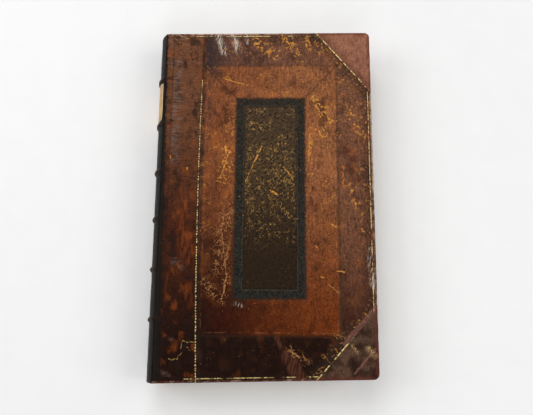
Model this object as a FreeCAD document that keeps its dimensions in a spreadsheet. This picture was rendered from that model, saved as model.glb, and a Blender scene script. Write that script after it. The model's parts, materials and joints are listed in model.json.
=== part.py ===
import FreeCAD, Part
import math
import os
import Sketcher

# An old folio book in panelled calf, rebacked, with raised bands and mended corners.
# Book frame while modelling: X runs from the joint to the fore-edge, Y from tail to head,
# Z up from the face that the book rests on. Each piece's Placement then moves it so that
# the origin is the middle of the underside.

os.makedirs("parts", exist_ok=True)
doc = FreeCAD.newDocument("leather_book")
sheet = doc.addObject("Spreadsheet::Sheet", "sizes")

SIZES = [
    # covers
    ("cover_width", 232.0),
    ("cover_height", 390.3),
    ("tail_rise", 5.8),
    ("corner_radius", 5.5),
    ("board_thickness", 4.2),
    ("leather_thickness", 0.9),
    ("turn_in_thickness", 0.5),
    ("turn_in_width", 16.0),
    ("pastedown_thickness", 0.3),
    ("pastedown_margin", 11.0),
    ("cover_clearance", 0.3),
    ("strip_gap", 0.4),
    ("board_gap", 1.6),
    # leather laid over the boards
    ("overlap_width", 41.0),
    ("head_corner_across", 63.0),
    ("head_corner_along", 75.5),
    ("tail_corner_across", 66.0),
    ("tail_corner_along", 73.0),
    # blind tooling
    ("frame_left", 44.0),
    ("frame_right", 38.0),
    ("frame_head", 41.0),
    ("frame_tail", 48.0),
    ("panel_side_gap", 36.3),
    ("panel_end_gap", 38.5),
    ("panel_border", 10.4),
    ("groove_width", 0.9),
    ("groove_depth", 0.3),
    # leaves
    ("block_thickness", 34.8),
    ("leaf_square", 4.5),
    ("fore_edge_square", 6.0),
    ("fore_edge_hollow", 5.0),
    ("flyleaf_thickness", 0.4),
    ("shoulder_height", 4.9),
    ("shoulder_width", 1.0),
    ("shoulder_slope", 1.0),
    # spine
    ("spine_radius", 33.1),
    ("spine_leather", 1.0),
    ("joint_relief_angle", 1.5),
    ("cord_relief_angle", 4.0),
    ("band_joint_clearance", 0.6),
    ("band_width", 7.4),
    ("cord_width", 4.6),
    ("cord_height", 2.0),
    ("band_place_1", 64.7),
    ("band_place_2", 118.1),
    ("band_place_3", 173.1),
    ("band_place_4", 226.3),
    ("band_place_5", 281.4),
    ("band_place_6", 334.7),
    ("headcap_thickness", 1.2),
    ("headcap_reach", 4.5),
    ("headcap_relief_angle", 13.5),
    ("endband_diameter", 2.8),
    ("endband_relief_angle", 11.5),
    ("label_thickness", 0.4),
    ("label_margin", 0.6),
    ("label_relief_angle", 6.5),
]
for row, (alias, size) in enumerate(SIZES, start=1):
    sheet.set("A%d" % row, alias)
    sheet.set("B%d" % row, str(size))
    sheet.setAlias("B%d" % row, alias)
doc.recompute()

BAND_COUNT = 6
PAST = "10"        # how far a cutting solid runs past the piece that it cuts

# Formulas that several pieces share. Depths are measured inwards from a cover's outer face.
DEPTH_BOARD_TOP = "sizes.leather_thickness"
DEPTH_BOARD_BASE = "(sizes.leather_thickness + sizes.board_thickness)"
DEPTH_TURN_IN = "(%s + sizes.turn_in_thickness)" % DEPTH_BOARD_BASE
DEPTH_PASTEDOWN = "(%s + sizes.pastedown_thickness)" % DEPTH_TURN_IN
DEPTH_FLYLEAF = "(%s + sizes.cover_clearance)" % DEPTH_PASTEDOWN
DEPTH_BLOCK = "(%s + sizes.flyleaf_thickness)" % DEPTH_FLYLEAF
BOOK_THICKNESS = "(sizes.block_thickness + 2 * %s)" % DEPTH_BLOCK
MID_HEIGHT = "(%s / 2)" % BOOK_THICKNESS
SPINE_CENTRE = "sqrt(sizes.spine_radius ^ 2 - %s ^ 2)" % MID_HEIGHT
JOINT_ANGLE = "(asin(%s / sizes.spine_radius) / 1deg)" % MID_HEIGHT
CORD_BED = "(sizes.spine_radius - sizes.spine_leather)"
CREST = "(sizes.spine_radius + sizes.cord_height)"
BLOCK_HEAD = "(sizes.cover_height - sizes.leaf_square)"
BLOCK_FORE_EDGE = "(sizes.cover_width - sizes.fore_edge_square)"
MIDDLE_X = "((sizes.cover_width + (%s - %s)) / 2)" % (SPINE_CENTRE, CREST)
MIDDLE_Y = "(sizes.cover_height / 2)"


def number(formula):
    """The value of a size formula."""
    return float(sheet.evalExpression(formula))


def tail_at(across):
    """Formula for the height of the slightly slanted tail edge at a distance from the joint."""
    return "(sizes.tail_rise * (%s) / sizes.cover_width)" % across


def settle(piece, label):
    """Name a finished piece and move it from the book frame to the origin."""
    piece.Label = label
    piece.setExpression("Placement.Base.x", "-" + MIDDLE_X)
    piece.setExpression("Placement.Base.y", "-" + MIDDLE_Y)


def hold_point(sketch, geometry, end, formulas):
    """Fix one point of a sketch at its two size formulas."""
    for kind, formula in zip(("DistanceX", "DistanceY"), formulas):
        place = sketch.addConstraint(
            Sketcher.Constraint(kind, -1, 1, geometry, end, number(formula)))
        sketch.setExpression("Constraints[%d]" % place, formula)


def hold_radius(sketch, geometry, formula):
    """Fix the radius of one arc of a sketch at its size formula."""
    place = sketch.addConstraint(Sketcher.Constraint("Radius", geometry, number(formula)))
    sketch.setExpression("Constraints[%d]" % place, formula)


def add_arc(sketch, start, end, radius, turn):
    """Add the short arc from start to end; turn is 1 for anticlockwise, -1 for clockwise."""
    chord = end - start
    side = FreeCAD.Vector(-chord.y, chord.x, 0).normalize()
    reach = math.sqrt(radius ** 2 - chord.Length ** 2 / 4)
    centre = (start + end) * 0.5 + side * reach * turn
    first, last = (start, end) if turn > 0 else (end, start)
    low = math.atan2(first.y - centre.y, first.x - centre.x)
    high = math.atan2(last.y - centre.y, last.x - centre.x)
    circle = Part.Circle(centre, FreeCAD.Vector(0, 0, 1), radius)
    return sketch.addGeometry(Part.ArcOfCircle(circle, low, high), False)


def trace(sketch, corners, curves=None):
    """Draw a closed outline through corners; curves holds the radius and turn of curved sides."""
    curves = curves or {}
    places = [FreeCAD.Vector(number(across), number(along), 0) for across, along in corners]
    sides = []
    for index, start in enumerate(places):
        end = places[(index + 1) % len(places)]
        if index in curves:
            radius, turn = curves[index]
            side = add_arc(sketch, start, end, number(radius), turn)
            sides.append((side, 1, 2) if turn > 0 else (side, 2, 1))
        else:
            side = sketch.addGeometry(Part.LineSegment(start, end), False)
            sides.append((side, 1, 2))
    for index, (side, first, last) in enumerate(sides):
        following, start, _ = sides[(index + 1) % len(sides)]
        sketch.addConstraint(Sketcher.Constraint("Coincident", side, last, following, start))
        hold_point(sketch, side, first, corners[index])
    for index, (radius, _) in curves.items():
        hold_radius(sketch, sides[index][0], radius)


def trace_cover(sketch, start, inset, radius):
    """Draw a cover's outline, its two fore-edge corners rounded, from start to the fore-edge."""
    low, high = "(%s)" % start, "(sizes.cover_width - %s)" % inset
    corners = [(low, "%s + %s" % (tail_at(low), inset)),
               (high, "%s + %s" % (tail_at(high), inset)),
               (high, "sizes.cover_height - %s" % inset),
               (low, "sizes.cover_height - %s" % inset)]
    places = [FreeCAD.Vector(number(across), number(along), 0) for across, along in corners]
    bend = number(radius)
    lean = math.atan2(places[1].y - places[0].y, places[1].x - places[0].x)
    tail_trim = bend * math.tan((math.pi / 2 - lean) / 2)
    along_tail = FreeCAD.Vector(math.cos(lean), math.sin(lean), 0)
    up, out = FreeCAD.Vector(0, 1, 0), FreeCAD.Vector(1, 0, 0)
    tail_end = places[1] - along_tail * tail_trim
    fore_start = places[1] + up * tail_trim
    fore_end = places[2] - up * bend
    head_start = places[2] - out * bend
    tail = sketch.addGeometry(Part.LineSegment(places[0], tail_end), False)
    fore = sketch.addGeometry(Part.LineSegment(fore_start, fore_end), False)
    head = sketch.addGeometry(Part.LineSegment(head_start, places[3]), False)
    joint = sketch.addGeometry(Part.LineSegment(places[3], places[0]), False)
    tail_bend = add_arc(sketch, tail_end, fore_start, bend, 1)
    head_bend = add_arc(sketch, fore_end, head_start, bend, 1)
    for before, end, after, start_end in ((tail, 2, tail_bend, 1), (tail_bend, 2, fore, 1),
                                          (fore, 2, head_bend, 1), (head_bend, 2, head, 1)):
        sketch.addConstraint(Sketcher.Constraint("Tangent", before, end, after, start_end))
    sketch.addConstraint(Sketcher.Constraint("Coincident", head, 2, joint, 1))
    sketch.addConstraint(Sketcher.Constraint("Coincident", joint, 2, tail, 1))
    hold_point(sketch, tail, 1, corners[0])
    hold_point(sketch, head, 2, corners[3])
    for corner, first, second in ((1, tail, fore), (2, fore, head)):
        tip = sketch.addGeometry(Part.Point(places[corner]), True)
        sketch.addConstraint(Sketcher.Constraint("PointOnObject", tip, 1, first))
        sketch.addConstraint(Sketcher.Constraint("PointOnObject", tip, 1, second))
        hold_point(sketch, tip, 1, corners[corner])
    hold_radius(sketch, tail_bend, radius)
    hold_radius(sketch, head_bend, radius)


def level(side, shallow, deep):
    """Formula for the height of the lower face of a layer between two depths of a cover."""
    return shallow if side == "back" else "%s - %s" % (BOOK_THICKNESS, deep)


def layer(name, side, shallow, deep, draw):
    """A flat layer of a cover between two depths; draw fills in its outline."""
    sketch = doc.addObject("Sketcher::SketchObject", name + "_outline")
    draw(sketch)
    sketch.setExpression("Placement.Base.z", level(side, shallow, deep))
    solid = doc.addObject("Part::Extrusion", name)
    solid.Base = sketch
    solid.DirMode = "Custom"
    solid.Dir = FreeCAD.Vector(0, 0, 1)
    solid.Solid = True
    solid.setExpression("LengthFwd", "%s - (%s)" % (deep, shallow))
    return solid


def polygon(corners):
    """A drawing function for a plain outline with straight sides."""
    return lambda sketch: trace(sketch, corners)


def box_corners(left, tail, right, head):
    """The four corners of an upright rectangle."""
    return [(left, tail), (right, tail), (right, head), (left, head)]


def cut(name, base, tool):
    """One solid less another."""
    result = doc.addObject("Part::Cut", name)
    result.Base = base
    result.Tool = tool
    return result


def common(name, base, tool):
    """What two solids share."""
    result = doc.addObject("Part::Common", name)
    result.Base = base
    result.Tool = tool
    return result


def fuse(name, solids):
    """Several solids joined."""
    result = doc.addObject("Part::MultiFuse", name)
    result.Shapes = solids
    return result


def new_body(label):
    """An empty body for one piece."""
    return doc.addObject("PartDesign::Body", label)


def body_sketch(body, name, role):
    """A sketch on one of a body's own planes."""
    sketch = body.newObject("Sketcher::SketchObject", name)
    plane = next(feature for feature in body.Origin.OriginFeatures if feature.Role == role)
    sketch.AttachmentSupport = (plane, "")
    sketch.MapMode = "FlatFace"
    return sketch


def turned_feature(body, kind, name, sketch, relief):
    """Turn a sketch about the spine's axis, up to a relief angle short of each joint."""
    feature = body.newObject(kind, name)
    feature.Profile = sketch
    feature.ReferenceAxis = (sketch, ["V_Axis"])
    feature.Midplane = True
    feature.setExpression("Angle", "2 * (%s - sizes.%s)" % (JOINT_ANGLE, relief))
    return feature


def settle_on_axis(body, label):
    """Place a body whose own Y axis is the spine's axis."""
    body.Label = label
    body.setExpression("Placement.Base.x", "%s - %s" % (SPINE_CENTRE, MIDDLE_X))
    body.setExpression("Placement.Base.y", "-" + MIDDLE_Y)
    body.setExpression("Placement.Base.z", MID_HEIGHT)


def swell_radius(width):
    """Formula for the radius of the low round top of a cord or band."""
    return "(((%s / 2) ^ 2 + sizes.cord_height ^ 2) / (2 * sizes.cord_height))" % width


def band_place(index):
    """The size that says how far up the spine a band is."""
    return "sizes.band_place_%d" % (index + 1)


def make_text_block():
    """All the leaves as one solid, rounded and backed, with a hollow fore-edge."""
    body = new_body("text_block")
    section = body_sketch(body, "block_section", "XZ_Plane")
    section.setExpression("AttachmentOffset.Base.z", "-sizes.leaf_square")
    half = "(sizes.block_thickness / 2)"
    shoulder = "(%s + sizes.shoulder_height)" % half
    back_edge = "(%s - sqrt(%s ^ 2 - %s ^ 2))" % (SPINE_CENTRE, CORD_BED, shoulder)
    hollow = "((%s ^ 2 + sizes.fore_edge_hollow ^ 2) / (2 * sizes.fore_edge_hollow))" % half
    corners = []
    for turn in ("-", "+"):
        face = "%s %s %s" % (MID_HEIGHT, turn, half)
        ridge = "%s %s (%s - sizes.shoulder_slope)" % (MID_HEIGHT, turn, shoulder)
        peak = "%s %s %s" % (MID_HEIGHT, turn, shoulder)
        half_outline = [(back_edge, peak), ("sizes.shoulder_width", ridge),
                        ("sizes.shoulder_width", face), (BLOCK_FORE_EDGE, face)]
        corners += half_outline if turn == "-" else half_outline[::-1]
    trace(section, corners, {3: (hollow, -1), 7: (CORD_BED, 1)})
    pad = body.newObject("PartDesign::Pad", "block_pad")
    pad.Profile = section
    pad.Reversed = True
    pad.setExpression("Length", "%s - sizes.leaf_square" % BLOCK_HEAD)
    doc.recompute()
    slant = body_sketch(body, "tail_slant", "XY_Plane")
    far = "(sizes.cover_width + %s)" % PAST
    trace(slant, [("0", "sizes.leaf_square"), ("0", "-" + PAST), (far, "-" + PAST),
                  (far, "sizes.leaf_square + %s" % tail_at(far))])
    pocket = body.newObject("PartDesign::Pocket", "tail_pocket")
    pocket.Profile = slant
    pocket.Type = "ThroughAll"
    pocket.Reversed = True
    body.Tip = pocket
    settle(body, "text_block")
    return body


def make_board(side):
    """The stiff board of one cover."""
    body = new_body(side + "_board")
    outline = body_sketch(body, side + "_board_outline", "XY_Plane")
    outline.setExpression("AttachmentOffset.Base.z", level(side, DEPTH_BOARD_TOP, DEPTH_BOARD_BASE))
    inset = "sizes.leather_thickness"
    trace_cover(outline, "sizes.board_gap", inset, "(sizes.corner_radius - %s)" % inset)
    pad = body.newObject("PartDesign::Pad", side + "_board_pad")
    pad.Profile = outline
    pad.setExpression("Length", "sizes.board_thickness")
    body.Tip = pad
    settle(body, side + "_board")
    return body


def make_wrap(side):
    """All the leather round one board, before it is shared out between the real pieces."""
    leather = "sizes.leather_thickness"
    whole = layer(side + "_leather_slab", side, "0", DEPTH_TURN_IN,
                  lambda sketch: trace_cover(sketch, "sizes.strip_gap", "0", "sizes.corner_radius"))
    room = layer(side + "_board_room", side, DEPTH_BOARD_TOP, DEPTH_BOARD_BASE,
                 lambda sketch: trace_cover(sketch, "-" + PAST, leather,
                                            "(sizes.corner_radius - %s)" % leather))
    inner = "(sizes.cover_width - sizes.turn_in_width)"
    window = layer(side + "_turn_in_window", side, DEPTH_BOARD_BASE, DEPTH_TURN_IN, polygon([
        ("-" + PAST, "%s + sizes.turn_in_width" % tail_at("-" + PAST)),
        (inner, "%s + sizes.turn_in_width" % tail_at(inner)),
        (inner, "sizes.cover_height - sizes.turn_in_width"),
        ("-" + PAST, "sizes.cover_height - sizes.turn_in_width")]))
    joint_room = layer(side + "_joint_room", side, DEPTH_BOARD_TOP, DEPTH_TURN_IN, polygon(
        box_corners("-" + PAST, "-" + PAST, "sizes.board_gap", "sizes.cover_height + " + PAST)))
    return cut(side + "_wrap", whole, fuse(side + "_not_leather", [room, joint_room, window]))


def corner_region(name, side, end, across, along):
    """The triangle at a fore-edge corner, its legs run past the edges on the same slant."""
    reach = "(%s / 5)" % across
    lift = "(%s / 5)" % along
    wide = "(sizes.cover_width + %s)" % reach
    narrow = "(sizes.cover_width - %s - %s)" % (across, reach)
    if end == "head":
        corners = [(wide, "sizes.cover_height - %s - %s" % (along, lift)),
                   (wide, "sizes.cover_height + %s" % lift),
                   (narrow, "sizes.cover_height + %s" % lift)]
    else:
        corners = [(narrow, "sizes.tail_rise - %s" % lift),
                   (wide, "sizes.tail_rise - %s" % lift),
                   (wide, "sizes.tail_rise + %s + %s" % (along, lift))]
    return layer(name, side, "0", DEPTH_TURN_IN, polygon(corners))


def frame_edges():
    """The four sides of the tooled frame, as formulas: left, tail, right, head."""
    return ("sizes.frame_left", "sizes.frame_tail",
            "(sizes.cover_width - sizes.frame_right)", "(sizes.cover_height - sizes.frame_head)")


def grown(edges, sideways, endways):
    """The same rectangle with its sides moved outwards."""
    left, tail, right, head = edges
    return ("(%s - %s)" % (left, sideways), "(%s - %s)" % (tail, endways),
            "(%s + %s)" % (right, sideways), "(%s + %s)" % (head, endways))


def groove_ring(name, side, edges):
    """The solid that cuts one tooled line round a rectangle."""
    half = "(sizes.groove_width / 2)"
    proud = "-sizes.groove_depth"
    outer = layer(name + "_outer", side, proud, "sizes.groove_depth",
                  polygon(box_corners(*grown(edges, half, half))))
    inner = layer(name + "_inner", side, proud, "sizes.groove_depth",
                  polygon(box_corners(*grown(edges, "-" + half, "-" + half))))
    return cut(name, outer, inner)


def mitre_line(name, side, outer, inner, slope):
    """The solid that cuts one slanted line from a frame corner to a panel corner."""
    half = "(sizes.groove_width / 2)"
    other = half if slope > 0 else "-" + half
    corners = [("%s - %s" % (outer[0], half), "%s + %s" % (outer[1], other)),
               ("%s + %s" % (outer[0], half), "%s - %s" % (outer[1], other)),
               ("%s + %s" % (inner[0], half), "%s - %s" % (inner[1], other)),
               ("%s - %s" % (inner[0], half), "%s + %s" % (inner[1], other))]
    return layer(name, side, "-sizes.groove_depth", "sizes.groove_depth", polygon(corners))


def make_tooling(side):
    """All the blind lines of one cover: a frame, a panel, its field and the four mitres."""
    frame = frame_edges()
    panel = grown(frame, "-sizes.panel_side_gap", "-sizes.panel_end_gap")
    field = grown(panel, "-sizes.panel_border", "-sizes.panel_border")
    tools = [groove_ring(side + "_frame_line", side, frame),
             groove_ring(side + "_panel_line", side, panel),
             groove_ring(side + "_field_line", side, field)]
    for across, along, slope in ((0, 1, 1), (2, 1, -1), (0, 3, -1), (2, 3, 1)):
        name = "%s_mitre_%d%d" % (side, across, along)
        tools.append(mitre_line(name, side, (frame[across], frame[along]),
                                (panel[across], panel[along]), slope))
    return fuse(side + "_tooling", tools)


def make_cover_leather(side):
    """The old side leather, the spine leather's overlap and the two corner pieces."""
    wrap = make_wrap(side)
    strip = layer(side + "_strip_region", side, "0", DEPTH_TURN_IN, polygon(box_corners(
        "-" + PAST, "-" + PAST, "sizes.overlap_width", "sizes.cover_height + " + PAST)))
    head = corner_region(side + "_head_region", side, "head",
                         "sizes.head_corner_across", "sizes.head_corner_along")
    tail = corner_region(side + "_tail_region", side, "tail",
                         "sizes.tail_corner_across", "sizes.tail_corner_along")
    taken = fuse(side + "_taken", [strip, head, tail])
    plain = cut(side + "_plain_side", wrap, taken)
    side_leather = cut(side + "_tooled_side", plain, make_tooling(side))
    settle(side_leather, side + "_side_leather")
    pieces = [side_leather]
    for label, region in (("joint_leather", strip), ("head_corner", head), ("tail_corner", tail)):
        piece = common("%s_%s_piece" % (side, label), wrap, region)
        settle(piece, "%s_%s" % (side, label))
        pieces.append(piece)
    return wrap, pieces


def make_pastedown(side, wrap):
    """The paper inside a cover: flat on the board, stepped up over the turned-in leather."""
    margin = "sizes.pastedown_margin"
    edge = "(sizes.cover_width - %s)" % margin
    start = "sizes.board_gap"
    slab = layer(side + "_paper_slab", side, DEPTH_BOARD_BASE, DEPTH_PASTEDOWN, polygon([
        (start, "%s + %s" % (tail_at(start), margin)),
        (edge, "%s + %s" % (tail_at(edge), margin)),
        (edge, "sizes.cover_height - %s" % margin),
        (start, "sizes.cover_height - %s" % margin)]))
    pastedown = cut(side + "_paper", slab, wrap)
    settle(pastedown, side + "_pastedown")
    return pastedown


def make_flyleaf(side):
    """The loose endpaper that lies on the leaves."""
    start = "sizes.shoulder_width"
    square = "sizes.leaf_square"
    flyleaf = layer(side + "_leaf", side, DEPTH_FLYLEAF, DEPTH_BLOCK, polygon([
        (start, "%s + %s" % (tail_at(start), square)),
        (BLOCK_FORE_EDGE, "%s + %s" % (tail_at(BLOCK_FORE_EDGE), square)),
        (BLOCK_FORE_EDGE, BLOCK_HEAD),
        (start, BLOCK_HEAD)]))
    settle(flyleaf, side + "_flyleaf")
    return flyleaf


def make_cord(index):
    """One sewing cord across the spine, under a raised band."""
    body = new_body("band_cord_%d" % (index + 1))
    section = body_sketch(body, "cord_section_%d" % (index + 1), "XY_Plane")
    bed = "-" + CORD_BED
    low = "%s - sizes.cord_width / 2" % band_place(index)
    high = "%s + sizes.cord_width / 2" % band_place(index)
    trace(section, [(bed, low), (bed, high)], {1: (swell_radius("sizes.cord_width"), 1)})
    body.Tip = turned_feature(body, "PartDesign::Revolution", "cord_turn_%d" % (index + 1),
                              section, "cord_relief_angle")
    settle_on_axis(body, "band_cord_%d" % (index + 1))
    return body


def spine_profile():
    """The spine leather's section along its length, with a band over each cord's bed."""
    outer, inner = "-sizes.spine_radius", "-" + CORD_BED
    outside = [(outer, "0")]
    inside = [(inner, "0")]
    for index in range(BAND_COUNT):
        for turn in ("-", "+"):
            outside.append((outer, "%s %s sizes.band_width / 2" % (band_place(index), turn)))
            inside.append((inner, "%s %s sizes.cord_width / 2" % (band_place(index), turn)))
    outside.append((outer, "sizes.cover_height"))
    inside.append((inner, "sizes.cover_height"))
    corners = outside + inside[::-1]
    curves = {}
    for index in range(BAND_COUNT):
        curves[2 * index + 1] = (swell_radius("sizes.band_width"), -1)
        curves[len(corners) - 3 - 2 * index] = (swell_radius("sizes.cord_width"), 1)
    return corners, curves


def make_spine_leather():
    """The new spine leather: a curved sheet with bands over the cords and a cap at each end."""
    body = new_body("spine_leather")
    section = body_sketch(body, "spine_section", "XY_Plane")
    trace(section, *spine_profile())
    turned_feature(body, "PartDesign::Revolution", "spine_sheet", section, "joint_relief_angle")
    doc.recompute()
    level_ends = body_sketch(body, "band_ends", "XZ_Plane")
    low = "(%s - %s)" % (MID_HEIGHT, "sizes.band_joint_clearance")
    high = "(%s + %s)" % (MID_HEIGHT, PAST)
    for bottom, top in ((low, high), ("-" + high, "-" + low)):
        trace(level_ends, box_corners("-(sizes.spine_radius + %s)" % PAST, bottom, "0", top))
    pocket = body.newObject("PartDesign::Pocket", "band_end_trim")
    pocket.Profile = level_ends
    pocket.Type = "ThroughAll"
    pocket.Midplane = True
    doc.recompute()
    thick = "sizes.headcap_thickness"
    for end, bottom, top in (("tail", "0", thick),
                             ("head", "sizes.cover_height - " + thick, "sizes.cover_height")):
        cap = body_sketch(body, end + "_cap_section", "XY_Plane")
        trace(cap, box_corners("-(sizes.spine_radius - sizes.spine_leather / 2)", bottom,
                               "-(sizes.spine_radius - sizes.headcap_reach)", top))
        body.Tip = turned_feature(body, "PartDesign::Revolution", end + "_cap", cap,
                                  "headcap_relief_angle")
        doc.recompute()
    settle_on_axis(body, "spine_leather")
    return body


def make_endband(end):
    """The worked band at one end of the spine, between the leaves and the headcap."""
    body = new_body(end + "_endband")
    section = body_sketch(body, end + "_endband_section", "XY_Plane")
    radius = "(sizes.endband_diameter / 2)"
    across = "-(%s - %s)" % (CORD_BED, radius)
    if end == "head":
        along = "%s + %s" % (BLOCK_HEAD, radius)
    else:
        along = "sizes.leaf_square - %s" % radius
    centre = FreeCAD.Vector(number(across), number(along), 0)
    circle = section.addGeometry(
        Part.Circle(centre, FreeCAD.Vector(0, 0, 1), number(radius)), False)
    hold_point(section, circle, 3, (across, along))
    hold_radius(section, circle, radius)
    body.Tip = turned_feature(body, "PartDesign::Revolution", end + "_endband_turn", section,
                              "endband_relief_angle")
    settle_on_axis(body, end + "_endband")
    return body


def make_label():
    """The thin leather label in the second compartment from the head."""
    body = new_body("spine_label")
    section = body_sketch(body, "label_section", "XY_Plane")
    step = "(sizes.band_width / 2 + sizes.label_margin)"
    outer = "-(sizes.spine_radius + sizes.label_thickness)"
    trace(section, box_corners(outer, "%s + %s" % (band_place(BAND_COUNT - 2), step),
                               "-sizes.spine_radius",
                               "%s - %s" % (band_place(BAND_COUNT - 1), step)))
    body.Tip = turned_feature(body, "PartDesign::Revolution", "label_turn", section,
                              "label_relief_angle")
    settle_on_axis(body, "spine_label")
    return body


def main():
    """Make every piece, check it and write its STEP file."""
    pieces = [make_text_block(), make_spine_leather(), make_label()]
    for index in range(BAND_COUNT):
        pieces.append(make_cord(index))
    for end in ("head", "tail"):
        pieces.append(make_endband(end))
    for side in ("front", "back"):
        wrap, leathers = make_cover_leather(side)
        pieces += leathers
        pieces += [make_board(side), make_pastedown(side, wrap), make_flyleaf(side)]
    doc.recompute()
    for item in doc.Objects:
        if "Invalid" in item.State or "Error" in item.State:
            raise RuntimeError("%s did not rebuild: %s" % (item.Label, item.State))
    for piece in pieces:
        shape = piece.Shape
        if shape.isNull() or not shape.isValid() or len(shape.Solids) != 1:
            raise RuntimeError("%s is not one valid solid" % piece.Label)
        shape.exportStep(os.path.join("parts", piece.Label + ".step"))
        box = shape.BoundBox
        print("%-20s %9.1f mm3  x %.2f %.2f  y %.2f %.2f  z %.2f %.2f" % (
            piece.Label, shape.Volume, box.XMin, box.XMax, box.YMin, box.YMax, box.ZMin, box.ZMax))
    print("middle x %.4f  y %.4f  thickness %.4f" % (
        number(MIDDLE_X), number(MIDDLE_Y), number(BOOK_THICKNESS)))


main()
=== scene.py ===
"""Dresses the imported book: worn calf, gilt and blind tooling, paper, silk and the stage it lies on."""

import json
import math

import bmesh
import bpy
from mathutils import Matrix, Vector, noise


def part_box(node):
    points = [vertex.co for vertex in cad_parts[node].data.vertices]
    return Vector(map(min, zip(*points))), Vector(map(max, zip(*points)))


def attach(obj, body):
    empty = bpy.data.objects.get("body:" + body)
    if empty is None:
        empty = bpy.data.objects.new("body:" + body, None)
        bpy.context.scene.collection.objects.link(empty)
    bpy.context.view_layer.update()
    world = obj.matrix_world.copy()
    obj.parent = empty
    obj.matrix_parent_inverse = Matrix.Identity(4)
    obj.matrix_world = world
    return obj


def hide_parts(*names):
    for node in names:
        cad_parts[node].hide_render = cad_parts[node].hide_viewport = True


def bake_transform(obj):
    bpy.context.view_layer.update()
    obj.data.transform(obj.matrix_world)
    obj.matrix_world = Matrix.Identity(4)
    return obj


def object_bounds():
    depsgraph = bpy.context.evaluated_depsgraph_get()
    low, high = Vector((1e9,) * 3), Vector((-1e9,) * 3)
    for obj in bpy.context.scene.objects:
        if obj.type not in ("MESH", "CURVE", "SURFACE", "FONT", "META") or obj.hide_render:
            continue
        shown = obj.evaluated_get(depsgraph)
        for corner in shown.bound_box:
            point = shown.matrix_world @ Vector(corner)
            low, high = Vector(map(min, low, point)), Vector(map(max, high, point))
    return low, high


bl_info = {
    "name": "Antique leather book",
    "version": (1, 0, 0),
    "blender": (4, 5, 0),
    "location": "3D View > Sidebar > Book",
    "description": "Dresses the packed book with leather, paper and silk",
    "category": "Object",
}

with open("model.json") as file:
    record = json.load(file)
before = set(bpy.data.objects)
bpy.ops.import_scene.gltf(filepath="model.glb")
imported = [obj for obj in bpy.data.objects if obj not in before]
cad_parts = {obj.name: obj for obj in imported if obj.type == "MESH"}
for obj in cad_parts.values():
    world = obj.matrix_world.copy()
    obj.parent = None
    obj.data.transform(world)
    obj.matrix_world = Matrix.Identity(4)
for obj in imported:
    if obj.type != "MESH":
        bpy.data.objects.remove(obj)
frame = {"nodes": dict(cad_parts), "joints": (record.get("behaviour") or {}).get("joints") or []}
CAD_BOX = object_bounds()

# Book millimetres: x from the joint to the fore-edge, y from tail to head, z up from the underside
MM = 0.001
JOINT_X = frame["joints"][0]["pos_m"][0]
TAIL_Y = CAD_BOX[0][1]
COVER_WIDTH = (CAD_BOX[1][0] - JOINT_X) / MM
HEIGHT = (CAD_BOX[1][1] - TAIL_Y) / MM
THICKNESS = CAD_BOX[1][2] / MM
TO_FRAME = Matrix.Translation((JOINT_X, TAIL_Y, 0)) @ Matrix.Scale(MM, 4)
TURN_OVER = Matrix.Translation((0, 0, THICKNESS)) @ Matrix.Scale(-1, 4, (0, 0, 1))
TAIL_RISE = 5.8
MID_HEIGHT = THICKNESS / 2

# Spine
SPINE_X = 22.795
SPINE_RADIUS = 33.0
JOINT_ANGLE = 45.0
SPINE_ANGLE = 44.4
BAND_PLACES = (64.7, 118.1, 173.1, 226.3, 281.4, 334.7)
BAND_HALF = 3.4
BAND_FADE = (-3.5, 3.0)
LABEL_TAIL = 285.7
LABEL_HEAD = 330.4
LABEL_ANGLE = 38.5
LABEL_LIFT = 0.42
LABEL_WALL = 0.35
SPINE_ROWS = 320
CAP_ROUND = 1.2

# Endbands: the roll's radius, half its arc and its blocks of coloured silk, in degrees, and threads a block
BAND_RADIUS = 1.4
SILK_ANGLE = 35.0
SILK_BLOCK = 7.0
SILK_THREADS = 4.0
SILK_STEPS = 168
THREAD_DEPTH = 0.16

# Cover
SEAM_X = 41.0
HEAD_CORNER = ((169.0, 390.3), (232.0, 314.8))
TAIL_CORNER = ((166.0, 4.15), (232.0, 78.8))
CORNERS = (HEAD_CORNER, TAIL_CORNER)
TURN_IN = 16.0
LEATHER_LOW = 42.4
BEND_START = 3.0
BEND_END_ANGLE = 41.5
BEND_LENGTH = 5.4
FRAME_BOX = (44.0, 194.0, 48.0, 349.4)
PANEL_BOX = (80.5, 158.0, 86.0, 310.5)
FIELD_BOX = (91.0, 148.0, 96.5, 299.8)
CORNER_RADIUS = 5.5
LEATHER_WALL = 0.6
CREASE_X = 7.9
CREASE_DEPTH = 0.3
CREASE_HALF = 1.4

# The skin of a cover before it's bent: what is spare beyond the joint, how it tucks in, and its cells
SKIN_SPARE = 24.0
STRIP_TUCK = 3.2
TUCK_DEPTH = 0.45
JOINT_CELL = 0.6
CREASE_CELL = 1.3
CREASE_END = 14.0
BAND_CUTS = (-3.9, -2.9, -1.9, -0.9, 0.9, 1.9, 2.9, 3.9)

# Gilt roll, which bows a little
ROLL_X = 40.6
ROLL_MIDDLE = 215.0
ROLL_BOW = 8.3e-5
ROLL_HEAD = 333.0
ROLL_PITCH = 2.9
SEAM_PAST_ROLL = 1.6

# Gilt line close to the cover's edges
EDGE_LINE_DEPTH = 4.1
EDGE_LINE_WIDTH = 0.7

# Leaves and endpapers
LEAF_LOW = 6.6
LEAF_HIGH = 41.4
LEAF_CELL = 18.0
PASTEDOWN_SINK = 0.35
PASTEDOWN_EDGE = 5.0
PAPER_WALL = 0.25
LAID_PITCH = 1.1
CHAIN_PITCH = 26.0

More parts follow.
